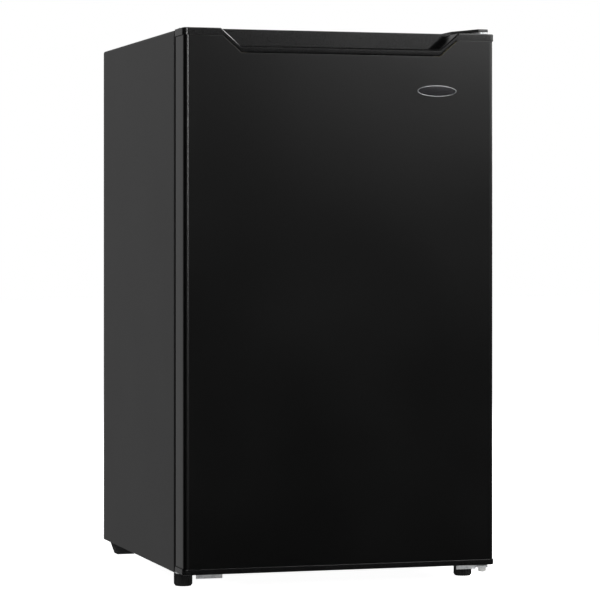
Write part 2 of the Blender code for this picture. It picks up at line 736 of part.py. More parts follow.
def build_thermostat():
    """The housing on the right wall, the switch in it, and the knob."""
    centre = knob_centre()
    width, length, height = HOUSING_SIZE
    wall = HOUSING_WALL
    low = (centre.x, -length / 2, centre.z - height / 2)
    high = (centre.x + width, length / 2, centre.z + height / 2)
    housing = box(low, high, "thermostat_housing", WHITE_PLASTIC, 2 * wall)
    hollow_low = Vector(low) + Vector((wall, wall, wall))
    hollow_high = Vector(high) + Vector((CLEAR, -wall, -wall))
    cut(
        housing,
        box(hollow_low, hollow_high),
        rod(SPINDLE_RADIUS + 3 * GAP, -wall * 3, wall * 3, centre, (1, 0, 0), steps=16),
    )
    shade(housing, 0.5)
    unit_low = centre + Vector((wall + GAP, -length / 6, -height / 4))
    unit_high = centre + Vector((width - 3 * wall, length / 6, height / 4))
    box(unit_low, unit_high, "thermostat_switch", ZINC, wall / 2)
    ridge_half, ridge_height = KNOB_RIDGE
    knob = turned(
        [
            (0, -wall * 0.8),
            (SPINDLE_RADIUS, -wall * 0.8),
            (SPINDLE_RADIUS, GAP),
            (KNOB_RADIUS, GAP),
            (KNOB_RADIUS, KNOB_HEIGHT / 3),
            (KNOB_RADIUS - KNOB_TAPER, KNOB_HEIGHT),
            (0, KNOB_HEIGHT),
        ],
        (-1, 0, 0),
        centre,
        "thermostat_knob",
        WHITE_PLASTIC,
        32,
    )
    ridge_reach = KNOB_RADIUS - 2 * KNOB_TAPER
    ridge_low = centre + Vector((-KNOB_HEIGHT - ridge_height, -ridge_half, -ridge_reach))
    ridge_high = centre + Vector((-KNOB_HEIGHT + wall, ridge_half, ridge_reach))
    join(knob, box(ridge_low, ridge_high, bevel=KNOB_TAPER))
    pivot(knob, centre)


# Door


def door_outline(half, inset=0.0):
    """The door in plan, with its sides rounded into its front, all moved inwards by the inset."""
    rear, front = DOOR_BACK_Y - inset, DOOR_FRONT_Y + inset
    side, radius = half - inset, EDGE_RADIUS - inset
    right = [(side - HEM_TURN, rear), (side, rear - HEM_LENGTH)]
    for degrees in range(0, 91, 9):
        turn = radians(degrees)
        right.append((side - radius * (1 - cos(turn)), front + radius * (1 - sin(turn))))
    return right + [(-x, y) for x, y in reversed(right)]


def build_door_skin():
    """The painted steel front, folded round both sides, with the notch for the handle."""
    skin = stretched(door_outline(HALF), "XY", SKIN_BOTTOM, SKIN_TOP, "door_skin", BLACK_PAINT)
    opening = HALF - DOOR_FLANGE
    cut(
        skin,
        stretched(door_outline(HALF, SHEET), "XY", SKIN_BOTTOM - CLEAR, SKIN_TOP + CLEAR),
        box(
            (-opening, DOOR_BACK_Y - 2 * CLEAR, SKIN_BOTTOM - CLEAR),
            (opening, DOOR_BACK_Y + CLEAR, SKIN_TOP + CLEAR),
        ),
        notch_form(0, DOOR_FRONT_Y - CLEAR, DOOR_FRONT_Y + RECESS_LIP, TOP_Z + CLEAR),
    )
    shade(skin)


def notch_outline(inset, top, drop):
    """The handle's trapezoid, seen from the front, with its sides moved inwards by the inset."""
    slope = (NOTCH_TOP_HALF - NOTCH_BOTTOM_HALF) / NOTCH_DEPTH
    bottom = TOP_Z - drop
    low_half = NOTCH_TOP_HALF - slope * drop - inset
    high_half = NOTCH_TOP_HALF + slope * (top - TOP_Z) - inset
    return [(-low_half, bottom), (low_half, bottom), (high_half, top), (-high_half, top)]


def notch_form(inset, start, end, top, drop=NOTCH_DEPTH):
    """The handle's trapezoid as a block from front to back."""
    return stretched(notch_outline(inset, top, drop), "XZ", start, end)


def rim_block(end, top):
    """The recess's rim before it is hollowed, with its front edges rounded below the top."""
    rim = notch_form(GAP, DOOR_FRONT_Y, end, top, NOTCH_DEPTH - GAP)
    bm = bmesh.new()
    bm.from_mesh(rim.data)
    edges = [
        e for e in bm.edges
        if all(v.co.y < DOOR_FRONT_Y + GAP for v in e.verts) and any(v.co.z < top - CLEAR for v in e.verts)
    ]
    bmesh.ops.bevel(bm, geom=edges, offset=RIM_ROUND, segments=2, profile=0.5, affect="EDGES")
    bm.to_mesh(rim.data)
    bm.free()
    return rim


def rim_flare(top, drop):
    """A cutter that chamfers the rim's inner front edge."""
    proud = DOOR_FRONT_Y - RIM_ROUND
    outlines = [
        notch_outline(RECESS_RIM - grow, top, drop + grow) for grow in (2 * RIM_ROUND, -RIM_ROUND)
    ]
    return stretched(outlines[0], "XZ", proud, DOOR_FRONT_Y + 2 * RIM_ROUND, end_outline=outlines[1])


def pocket_drop():
    """How far the recess goes below the door's top, behind its lip."""
    return NOTCH_DEPTH - RECESS_RIM + POCKET_DROP


def build_top_cap():
    """The door's top moulding, with the handle recess and the hinge's socket."""
    low = TOP_Z - TOP_CAP_HEIGHT
    cap = stretched(door_outline(CAP_HALF), "XY", low, TOP_Z, "door_top_cap", BLACK_PLASTIC)
    bm = bmesh.new()
    bm.from_mesh(cap.data)
    edges = [e for e in bm.edges if all(v.co.z > low + GAP and v.co.y < DOOR_BACK_Y - GAP for v in e.verts)]
    bmesh.ops.bevel(bm, geom=edges, offset=CAP_BEVEL, segments=2, profile=0.5, affect="EDGES")
    bm.to_mesh(cap.data)
    bm.free()
    inner_y = DOOR_FRONT_Y + RECESS_DEPTH
    ridge_y = (inner_y + POCKET_WALL, inner_y + POCKET_WALL + RIDGE_WIDTH)
    boss_top = TOP_Z - TOP_CAP_HEIGHT / 2
    boss_low = low - BOSS_HEIGHT
    join_z = TOP_Z - TOP_CAP_HEIGHT / 3
    lip_y = DOOR_FRONT_Y + RECESS_LIP
    join(
        cap,
        rim_block(lip_y, join_z),
        notch_form(
            RECESS_RIM - POCKET_WALL, DOOR_FRONT_Y + RECESS_LIP / 2, inner_y + POCKET_WALL, join_z,
            pocket_drop() + POCKET_WALL,
        ),
        box((RIDGE_INSET - CAP_HALF, ridge_y[0], join_z), (ridge_end(), ridge_y[1], TOP_Z + RIDGE_HEIGHT)),
        rod(BUSH_RADIUS + BOSS_WALL, boss_low, boss_top, (PIN_X, PIN_Y, 0)),
    )
    rim = NOTCH_DEPTH - RECESS_RIM
    cut(
        cap,
        notch_form(RECESS_RIM, DOOR_FRONT_Y - CLEAR, inner_y, TOP_Z + CLEAR, rim),
        notch_form(RECESS_RIM, lip_y, inner_y, TOP_Z - rim + PROUD, pocket_drop()),
        rim_flare(TOP_Z + CLEAR, rim),
        rod(BUSH_RADIUS + GAP, boss_low - CLEAR, TOP_Z + CLEAR, (PIN_X, PIN_Y, 0)),
    )
    shade(cap)


def ridge_end():
    """Where the ridge along the door's top stops, clear of the hinge."""
    return HALF - COVER_WIDTH - 1.5 * RIDGE_INSET


def build_bottom_cap():
    """The door's bottom moulding, with the hinge's socket."""
    low, high = DOOR_BOTTOM, DOOR_BOTTOM + BOTTOM_CAP_HEIGHT
    cap = stretched(door_outline(CAP_HALF), "XY", low, high, "door_bottom_cap", BLACK_PLASTIC)
    join(cap, rod(BUSH_RADIUS + BOSS_WALL, (low + high) / 2, high + BOSS_HEIGHT, (PIN_X, PIN_Y, 0)))
    cut(cap, rod(BUSH_RADIUS + GAP, low - CLEAR, high + BOSS_HEIGHT + CLEAR, (PIN_X, PIN_Y, 0)))
    shade(cap)


def build_bushes():
    """The plastic bushes that the two hinge pins turn in."""
    hole = PIN_RADIUS + PIN_CLEARANCE
    at = (PIN_X, PIN_Y, 0)
    low, high = TOP_Z - TOP_CAP_HEIGHT - BOSS_HEIGHT, TOP_Z - GAP
    sleeve(hole, BUSH_RADIUS, low, high, at, "top_hinge_bush", WHITE_PLASTIC)
    low, high = DOOR_BOTTOM + GAP, DOOR_BOTTOM + BOTTOM_CAP_HEIGHT + BOSS_HEIGHT
    sleeve(hole, BUSH_RADIUS, low, high, at, "bottom_hinge_bush", WHITE_PLASTIC)


def dyke_form(grow, start):
    """The raised frame of the door's liner, grown by an amount, from a start plane backwards."""
    rise, round_off = DOOR_BACK_Y + DYKE_DEPTH + grow, 0.004
    width = DYKE_WIDTH + 2 * grow
    profile = [
        (0, start),
        (0, rise - round_off),
        (round_off, rise),
        (width - round_off, rise),
        (width, rise - round_off),
        (width, start),
    ]
    low, high = LINER_FLOOR + DYKE_MARGIN - grow, LINER_TOP - DYKE_MARGIN + grow
    return frame_ring(profile, DYKE_HALF_WIDTH + grow, low, high, "tool")


def build_door_liner():
    """The white inner panel of the door, with a raised frame that holds the racks."""
    half = HALF - DOOR_FLANGE - GAP
    low, high = (-half, DOOR_BACK_Y - LINER_WALL, SKIN_BOTTOM), (half, DOOR_BACK_Y, SKIN_TOP)
    liner = box(low, high, "door_liner", WHITE_PLASTIC)
    join(liner, dyke_form(0, DOOR_BACK_Y - LINER_WALL / 2))
    cut(liner, dyke_form(-LINER_WALL, DOOR_BACK_Y - CLEAR))
    shade(liner, 0.5)


def build_door_foam():
    """The insulation inside the door, up into the liner's raised frame."""
    rear = DOOR_BACK_Y - LINER_WALL - GAP
    foam = stretched(door_outline(HALF, SHEET + GAP), "XY", SKIN_BOTTOM, SKIN_TOP, "door_foam", FOAM)
    back = box((-HALF, rear, SKIN_BOTTOM - CLEAR), (HALF, DOOR_BACK_Y + CLEAR, SKIN_TOP + CLEAR))
    cut(foam, back)
    join(foam, dyke_form(-LINER_WALL - GAP, rear - 0.004))
    at = (PIN_X, PIN_Y, 0)
    lip_y = DOOR_FRONT_Y + RECESS_LIP + GAP
    pocket_wall = POCKET_WALL + GAP
    cut(
        foam,
        notch_form(-GAP, DOOR_FRONT_Y - CLEAR, lip_y, TOP_Z, NOTCH_DEPTH + GAP),
        notch_form(
            RECESS_RIM - pocket_wall, DOOR_FRONT_Y, DOOR_FRONT_Y + RECESS_DEPTH + pocket_wall, TOP_Z,
            pocket_drop() + pocket_wall,
        ),
        rod(BUSH_RADIUS + BOSS_WALL + GAP, SKIN_TOP - PIN_REACH - CLEAR / 2, TOP_Z, at),
        rod(BUSH_RADIUS + BOSS_WALL + GAP, 0, SKIN_BOTTOM + PIN_REACH + CLEAR / 2, at),
    )


def build_gasket():
    """The magnetic seal: a frame with a waist, between the door and the steel face."""
    rear, front = FRONT_Y - GAP, DOOR_BACK_Y + GAP
    step = (rear - front) / 4
    width = GASKET_WIDTH
    waist = width * 0.14
    corner = width / 36
    profile = [
        (2 * corner, front),
        (0, front + step / 2),
        (0, front + step),
        (waist, front + 1.6 * step),
        (waist, front + 2.2 * step),
        (0, front + 2.8 * step),
        (0, rear - corner),
        (corner, rear),
        (width - corner, rear),
        (width, rear - corner),
        (width, front + 2.8 * step),
        (width - waist, front + 2.2 * step),
        (width - waist, front + 1.6 * step),
        (width, front + step),
        (width - 2 * corner, front),
    ]
    low = BASE_FLANGE_TOP - GASKET_WIDTH - 2 * PROUD
    frame_ring(profile, HALF - GASKET_INSET, low, TOP_Z - GASKET_INSET, "door_gasket", GASKET_GREY)


def build_rack(name, floor, height):
    """A door rack: an open tray that hangs between the raised frame's sides."""
    half = DYKE_HALF_WIDTH - DYKE_WIDTH - GAP
    front, rear = DOOR_BACK_Y + GAP, DOOR_BACK_Y + RACK_DEPTH
    rack = box((-half, front, floor), (half, rear, floor + height), name, CLEAR_PLASTIC, RACK_BEVEL)
    inner, wall = half - RACK_WALL, RACK_WALL
    inner_high = (inner, rear - wall, floor + height + 2 * CLEAR)
    cut(rack, box((-inner, front + wall, floor + wall), inner_high, bevel=RACK_BEVEL * 2 / 3))
    shade(rack, 0.5)


def build_badge():
    """A blank oval plate on the door."""
    x, z = HALF - BADGE_FROM_RIGHT, TOP_Z - BADGE_BELOW_TOP
    steps = 48

    def oval(inset):
        half_length, half_height = BADGE_LENGTH / 2 - inset, BADGE_HEIGHT / 2 - inset
        turns = [2 * pi * i / steps for i in range(steps)]
        return [(x + half_length * cos(a), z + half_height * sin(a)) for a in turns]

    rear, front = DOOR_FRONT_Y - GAP, DOOR_FRONT_Y - PROUD
    shade(stretched(oval(0), "XZ", rear, front, "door_badge", BADGE_GREY, oval(PROUD - GAP)))


# Hinges and feet


def hinge_arm(half_width, front_reach):
    """Plan of a hinge's arm: a straight side along the door's edge and a round end at the pin."""
    right = PIN_X + half_width
    return [
        (right, FRONT_Y),
        *arc((PIN_X, PIN_Y), half_width, 0, -180, 8),
        (PIN_X - half_width - PIN_RADIUS, FRONT_Y - front_reach),
    ]


def build_top_hinge():
    """The upper hinge: plate, pin, two screws and the cover over them."""
    low = TOP_Z + GAP
    plate_high = low + TOP_HINGE_PLATE
    arm = PIN_RADIUS + TOP_ARM_MARGIN
    left = HALF - COVER_WIDTH + PLATE_INSET
    rear = FRONT_Y + COVER_LENGTH
    plate_rear = rear - PLATE_INSET
    outline = [
        *hinge_arm(arm, CLEAR),
        (left, FRONT_Y + 2 * PLATE_INSET),
        (left, plate_rear),
        (PIN_X + arm, plate_rear),
    ]
    plate = stretched(outline, "XY", low, plate_high, "top_hinge_bracket", GALVANISED)
    screw_x = (left + PIN_X) / 2 + SCREW_HEAD
    screw_ys = {"front": FRONT_Y + 4 * SCREW_HEAD, "rear": rear - 4 * SCREW_HEAD}
    cutters = [rod(SCREW_RADIUS + GAP, 0, 1, (screw_x, y, TOP_Z - 0.5), steps=12) for y in screw_ys.values()]
    pin_head = PIN_RADIUS + PIN_HEAD
    cut(plate, *cutters, rod(PIN_RADIUS + GAP, 0, 1, (PIN_X, PIN_Y, 0)))
    profile = [
        (0, TOP_Z - PIN_REACH),
        (PIN_RADIUS - PIN_TAPER, TOP_Z - PIN_REACH),
        (PIN_RADIUS, TOP_Z - PIN_REACH + PIN_TAPER),
        (PIN_RADIUS, plate_high + GAP),
        (pin_head, plate_high + GAP),
        (pin_head, plate_high + 1.5 * PIN_TAPER),
        (0, plate_high + 1.5 * PIN_TAPER),
    ]
    turned(profile, (0, 0, 1), (PIN_X, PIN_Y, 0), "top_hinge_pin", ZINC)
    for place, y in screw_ys.items():
        depth, head_high = -TOP_HINGE_PLATE - GAP, SCREW_HEAD * 0.45
        screw = [
            (0, depth),
            (SCREW_RADIUS, depth),
            (SCREW_RADIUS, GAP),
            (SCREW_HEAD, GAP),
            (SCREW_HEAD * 0.7, head_high),
            (0, head_high),
        ]
        turned(screw, (0, 0, 1), (screw_x, y, plate_high), f"top_hinge_screw_{place}", ZINC, 12)
    build_hinge_cover(low, rear)


def build_hinge_cover(low, rear):
    """The plastic cover over the upper hinge, tapering forwards to the pin."""
    reach = PIN_RADIUS + TOP_ARM_MARGIN
    right = PIN_X + reach - COVER_WALL - GAP
    left = HALF - COVER_WIDTH
    high = low + COVER_HEIGHT - GAP
    front = PIN_Y - reach
    corner = 3 * COVER_WALL

    def plan(inset):
        return [
            (right - inset, rear - inset),
            (right - inset, front + corner),
            (right - corner - inset, front + inset),
            (PIN_X - reach + inset, front + inset),
            (left + inset, FRONT_Y + corner),
            (left + inset, rear - inset),
        ]

    upper = plan(COVER_WALL * 2 / 3)
    cover = stretched(plan(0), "XY", low, high, "top_hinge_cover", BLACK_PLASTIC, upper)
    plate_high = low + TOP_HINGE_PLATE + GAP
    hollow = stretched(plan(COVER_WALL), "XY", plate_high, high - COVER_WALL)
    rear_wall = 2 * COVER_WALL
    room = box(
        (left + rear_wall, PIN_Y - 3 * CLEAR, low - CLEAR), (HALF + CLEAR, rear - rear_wall, plate_high + GAP)
    )
    cut(cover, hollow, room)
    shade(cover)


def build_bottom_hinge():
    """The lower hinge: a bracket under the body that also carries the right front foot, its pin and nut."""
    plate_low = PLATE_TOP - HINGE_PLATE
    arm = PIN_RADIUS + BOTTOM_ARM_MARGIN
    left, rear = HALF - BOTTOM_PLATE_WIDTH, FRONT_Y + FRONT_PLATE_DEPTH
    right = PIN_X + arm
    outline = [*hinge_arm(arm, 0.0), (left, FRONT_Y + PIN_RADIUS), (left, rear), (right, rear)]
    bracket = stretched(outline, "XY", plate_low, PLATE_TOP, "bottom_hinge_bracket", GALVANISED)
    lip_rear = FOOT_Y - FOOT_RADIUS - LIP_GAP
    lip_low = (left, lip_rear - HINGE_PLATE, PLATE_TOP - BRACKET_DROP - HINGE_PLATE)
    lip_high = (FOOT_X + FOOT_RADIUS + PROUD, lip_rear, plate_low + HINGE_PLATE / 3)
    join(bracket, box(lip_low, lip_high))
    cut(bracket, stem_cutter(1), rod(PIN_RADIUS + GAP, 0, 1, (PIN_X, PIN_Y, 0)))
    reach = DOOR_BOTTOM + PIN_REACH
    nut_high = plate_low - GAP
    nut_low = nut_high - NUT_HEIGHT
    profile = [
        (0, nut_low - PIN_TAPER),
        (PIN_RADIUS, nut_low - PIN_TAPER),
        (PIN_RADIUS, reach - PIN_TAPER),
        (PIN_RADIUS - PIN_TAPER, reach),
        (0, reach),
    ]
    at = (PIN_X, PIN_Y, 0)
    turned(profile, (0, 0, 1), at, "bottom_hinge_pin", ZINC)
    bore = PIN_RADIUS + GAP
    ring = [(bore, nut_low), (NUT_RADIUS, nut_low), (NUT_RADIUS, nut_high), (bore, nut_high)]
    turned(ring, (0, 0, 1), at, "bottom_hinge_nut", ZINC, 12)


def build_left_bracket():
    """The bracket under the body's left front corner, which carries that side's foot."""
    plate_low = PLATE_TOP - HINGE_PLATE
    left, right = LEFT_PLATE_SPAN[0] - HALF, LEFT_PLATE_SPAN[1] - HALF
    front, rear = FRONT_Y + HINGE_PLATE, FRONT_Y + FRONT_PLATE_DEPTH
    bracket = box((left, front, plate_low), (right, rear, PLATE_TOP), "front_left_bracket", GALVANISED)
    lip_low = (FOOT_RADIUS + LIP_GAP - FOOT_X, front, PLATE_TOP - BRACKET_DROP - HINGE_PLATE)
    lip_high = (right, front + HINGE_PLATE, plate_low + HINGE_PLATE / 3)
    join(bracket, box(lip_low, lip_high))
    cut(bracket, stem_cutter(-1))


def build_front_foot(name, side):
    """A levelling foot with a fluted rim and a threaded stem."""
    top = PLATE_TOP - HINGE_PLATE - GAP
    flutes, steps = 20, 80

    def ring(scale):
        angles = [2 * pi * i / steps for i in range(steps)]
        radii = [scale * (FOOT_RADIUS - FLUTE + FLUTE * cos(flutes * a)) for a in angles]
        return [(side * FOOT_X + r * cos(a), FOOT_Y + r * sin(a)) for r, a in zip(radii, angles)]

    foot = stretched(ring(0.84), "XY", 0, FOOT_CHAMFER, name, RUBBER, ring(1))
    join(
        foot,
        stretched(ring(1), "XY", FOOT_CHAMFER - FLUTE, top),
        rod(STEM_RADIUS, top - FOOT_CHAMFER, BOTTOM_Z + STEM_REACH, (side * FOOT_X, FOOT_Y, 0), steps=16),
    )
    shade(foot, 0.8)
    pivot(foot, (side * FOOT_X, FOOT_Y, 0))


def build_rear_foot(name, side):
    """A fixed rear foot, a block that narrows towards the floor."""
    width, depth = REAR_FOOT_SIZE
    outer = HALF - REAR_FOOT_FROM_SIDE
    front, rear = BACK_Y - depth, BACK_Y - 2 * PROUD

    def plan(taper):
        left, right = side * (outer - width + taper), side * (outer - taper)
        low, high = front + taper / 4, rear - taper / 4
        return [(left, low), (right, low), (right, high), (left, high)]

    stretched(plan(REAR_FOOT_TAPER), "XY", 0, BOTTOM_Z - GAP, name, RUBBER, plan(0))


# Compressor bay


def build_mount_plate():
    """The steel plate across the bay that carries the compressor and the rear feet."""
    half = HALF - SHEET - GAP
    plate = box(
        (-half, MOUNT_PLATE_Y[0], BOTTOM_Z), (half, MOUNT_PLATE_Y[1], BOTTOM_Z + MOUNT_PLATE),
        "compressor_mount_plate", GALVANISED,
    )
    for side in (-1, 1):
        inner, outer = side * (half - MOUNT_PLATE), side * half
        low = (min(inner, outer), MOUNT_PLATE_Y[0], BOTTOM_Z)
        high = (max(inner, outer), MOUNT_PLATE_Y[1], BOTTOM_Z + MOUNT_FLANGE)
        join(plate, box(low, high))


def grommet_places():
    """The compressor's four rubber mounts, by name."""
    x, y = COMPRESSOR_HALF + GROMMET_RADIUS * 0.6, COMPRESSOR_RADIUS * 0.62
    return {
        f"{front}_{side}": (COMPRESSOR_X + sx * x, COMPRESSOR_Y + sy * y)
        for front, sy in (("front", -1), ("rear", 1))
        for side, sx in (("left", -1), ("right", 1))
    }


def build_compressor():
    """The compressor's welded shell with its foot plates, on four grommets."""
    radius, height = COMPRESSOR_RADIUS, COMPRESSOR_HEIGHT
    seam, bead = height * 0.55, height / 60
    crown = height / 4
    dome = arc((0, 0), 1, 0, 90, 8)[:-1]
    profile = [
        (0, 2 * bead),
        (radius * 0.70, 2 * bead),
        (radius * 0.92, 7 * bead),
        (radius * 0.97, crown),
        (radius * 0.97, seam - 1.5 * bead),
        (radius, seam - bead),
        (radius, seam + bead),
        (radius * 0.985, seam + 1.5 * bead),
        *[(radius * 0.985 * across, height - crown + crown * up) for across, up in dome],
        (0, height),
    ]
    at = (COMPRESSOR_X, COMPRESSOR_Y, COMPRESSOR_Z)
    shell = turned(profile, (0, 0, 1), (0, 0, 0), "compressor", RUBBER, 32)
    shell.data.transform(Matrix.Translation(at) @ Matrix.Diagonal((COMPRESSOR_STRETCH, 1, 1, 1)))
    reach, deep = COMPRESSOR_HALF + GROMMET_RADIUS * 1.8, radius * 0.62 + GROMMET_RADIUS * 1.2
    for side in (-1, 1):
        inner, outer = side * radius * 0.6, side * reach
        low = (at[0] + min(inner, outer), at[1] - deep, at[2])
        high = (at[0] + max(inner, outer), at[1] + deep, at[2] + 3 * bead)
        join(shell, box(low, high, bevel=bead / 2))
    shade(shell)
    for place, (x, y) in grommet_places().items():
        low = BOTTOM_Z + MOUNT_PLATE + GAP
        profile = [
            (0, low),
            (GROMMET_RADIUS, low),
            (GROMMET_RADIUS * 0.75, low + GROMMET_HEIGHT / 2),
            (GROMMET_RADIUS, low + GROMMET_HEIGHT),
            (0, low + GROMMET_HEIGHT),
        ]
        turned(profile, (0, 0, 1), (x, y, 0), f"compressor_grommet_{place}", RUBBER, 16)


def build_relay_cover():
    """The relay's cover on the compressor's right end, and the gland where the lead would enter."""
    length, half_depth, height = RELAY_SIZE
    left = COMPRESSOR_X + COMPRESSOR_HALF + GAP
    low = (left, COMPRESSOR_Y - half_depth, COMPRESSOR_Z + RELAY_RISE)
    high = (left + length, COMPRESSOR_Y + half_depth, COMPRESSOR_Z + RELAY_RISE + height)
    shade(box(low, high, "relay_cover", BLACK_PLASTIC, length / 10), 0.5)
    neck = GLAND_RADIUS * 0.72
    gland = [
        (0, 0),
        (GLAND_RADIUS, 0),
        (GLAND_RADIUS, GLAND_LENGTH * 0.3),
        (neck, GLAND_LENGTH * 0.4),
        (neck, GLAND_LENGTH),
        (0, GLAND_LENGTH),
    ]
    at = (high[0] + GAP, COMPRESSOR_Y, low[2] + 2 * GLAND_RADIUS)
    turned(gland, (1, 0, 0), at, "cord_gland", RUBBER, 20)


def build_drip_tray():
    """The tray on the compressor that the drain runs into."""
    low = Vector((COMPRESSOR_X - TRAY_SIZE[0] / 3, COMPRESSOR_Y - TRAY_SIZE[1] / 2, 0))
    low.z = COMPRESSOR_Z + COMPRESSOR_HEIGHT + GAP
    high = low + Vector(TRAY_SIZE)
    tray = box(low, high, "drip_tray", BLACK_PLASTIC, 1.5 * TRAY_WALL)
    wall = Vector((TRAY_WALL, TRAY_WALL, TRAY_WALL))
    cut(tray, box(low + wall, high + Vector((-TRAY_WALL, -TRAY_WALL, 2 * CLEAR))))


def build_drier():
    """The filter drier, upright at the bay's right side."""
    shoulder = DRIER_LENGTH / 8
    body = [
        (0, 0),
        (TUBE_RADIUS, 0),
        (DRIER_RADIUS, shoulder),
        (DRIER_RADIUS, DRIER_LENGTH - shoulder),
        (TUBE_RADIUS, DRIER_LENGTH),
        (0, DRIER_LENGTH),
    ]
    turned(body, (0, 0, 1), DRIER_FOOT, "filter_drier", COPPER, 16)


def build_suction_tube():
    """The tube from the bay's ceiling down to the compressor's left end."""
    left = COMPRESSOR_X - COMPRESSOR_HALF
    height = COMPRESSOR_Z + COMPRESSOR_HEIGHT * 0.3
    start = left + COMPRESSOR_HALF * 0.03 - 3 * GAP
    corner = left - SUCTION_REACH
    turn = (corner, COMPRESSOR_Y, height)
    path = [(start, COMPRESSOR_Y, height), turn, (corner, COMPRESSOR_Y, BAY_TOP - TUBE_RADIUS)]
    tube(bent(path, SUCTION_REACH / 3), TUBE_RADIUS * 1.2, "suction_tube", COPPER, 2)


def build_discharge_tube():
    """The tube from the drier along the bay's ceiling."""
    x, rear, foot = DRIER_FOOT
    ceiling = BAY_TOP - CLEAR
    front = rear - DISCHARGE_RUN
    path = [
        (x, rear, foot + DRIER_LENGTH + GAP),
        (x, rear, ceiling),
        (x, front, ceiling),
        (x - DISCHARGE_RUN, front, ceiling),
        (x - DISCHARGE_RUN, front, BAY_TOP - TUBE_RADIUS),
    ]
    tube(bent(path, 2 * TUBE_RADIUS), TUBE_RADIUS * 0.8, "discharge_tube", COPPER, 2)


def main():
    """Builds every piece."""
    for obj in list(bpy.data.objects):
        bpy.data.objects.remove(obj)
    build_wrap()
    build_back_panel()
    build_base_panel()
    build_liner()
    build_foam()
    box(*evaporator_box(0), "evaporator_plate", ALUMINIUM)
    build_condenser()
    build_drain()
    build_back_screws()
    build_shelf("upper_shelf", UPPER_SHELF_Z, LINER_BACK - SHELF_SIDE_GAP)
    build_shelf("middle_shelf", MIDDLE_SHELF_Z, LINER_BACK - SHELF_SIDE_GAP)
    build_shelf("crisper_cover", CRISPER_COVER_Z, HUMP_FRONT - SHELF_SIDE_GAP)
    build_crisper_drawer()
    build_thermostat()
    build_door_skin()
    build_top_cap()
    build_bottom_cap()
    build_bushes()
    build_door_liner()
    build_door_foam()
    build_gasket()
    build_rack("lower_door_rack", LOWER_RACK_Z, LOWER_RACK_HEIGHT)
    build_rack("middle_door_rack", MIDDLE_RACK_Z, SMALL_RACK_HEIGHT)
    build_rack("upper_door_rack", UPPER_RACK_Z, SMALL_RACK_HEIGHT)
    build_badge()
    build_top_hinge()
    build_bottom_hinge()
    build_left_bracket()
    for name, side in (("left", -1), ("right", 1)):
        build_front_foot(f"front_{name}_foot", side)
        build_rear_foot(f"rear_{name}_foot", side)
    build_mount_plate()
    build_compressor()
    build_relay_cover()
    build_drip_tray()
    build_drier()
    build_suction_tube()
    build_discharge_tube()


main()
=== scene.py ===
"""Looks of a compact black refrigerator with one right-hinged door.

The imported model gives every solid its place. This script dresses those solids, replaces the
ones whose real shape is finer, and sets up a plain pale studio with a camera.
"""

import json
import logging
from collections.abc import Sequence
from dataclasses import dataclass, field
from enum import Enum
from functools import cache
from math import cos, pi, radians, sin

import bmesh
import bpy
from mathutils import Matrix, Vector

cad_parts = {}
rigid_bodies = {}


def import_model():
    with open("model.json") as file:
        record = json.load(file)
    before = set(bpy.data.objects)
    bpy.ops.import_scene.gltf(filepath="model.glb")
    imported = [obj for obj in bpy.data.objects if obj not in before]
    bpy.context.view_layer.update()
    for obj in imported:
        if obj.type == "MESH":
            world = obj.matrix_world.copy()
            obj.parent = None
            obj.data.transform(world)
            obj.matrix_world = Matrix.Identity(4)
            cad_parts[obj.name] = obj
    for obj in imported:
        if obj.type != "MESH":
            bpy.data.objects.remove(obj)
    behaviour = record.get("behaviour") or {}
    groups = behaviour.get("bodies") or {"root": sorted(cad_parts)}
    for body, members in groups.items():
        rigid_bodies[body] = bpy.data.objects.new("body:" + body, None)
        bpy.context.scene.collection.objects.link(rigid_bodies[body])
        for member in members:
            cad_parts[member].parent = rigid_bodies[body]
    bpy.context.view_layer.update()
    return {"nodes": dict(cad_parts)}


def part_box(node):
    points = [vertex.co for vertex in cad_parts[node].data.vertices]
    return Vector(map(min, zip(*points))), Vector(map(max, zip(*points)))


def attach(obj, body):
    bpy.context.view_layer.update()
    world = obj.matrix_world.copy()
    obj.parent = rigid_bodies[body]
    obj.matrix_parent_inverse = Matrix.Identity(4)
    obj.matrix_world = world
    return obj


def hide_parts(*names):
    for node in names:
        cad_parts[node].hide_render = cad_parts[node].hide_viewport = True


for leftover in list(bpy.data.objects):
    bpy.data.objects.remove(leftover)
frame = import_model()
LOG = logging.getLogger("refrigerator")

Colour = tuple[float, float, float]
Point = Sequence[float]
MEAN = 0.5  # the middle of a noise's range
REAL_EDGE = radians(38.0)  # the angle from which an edge of a solid is a real one


# Shader nodes


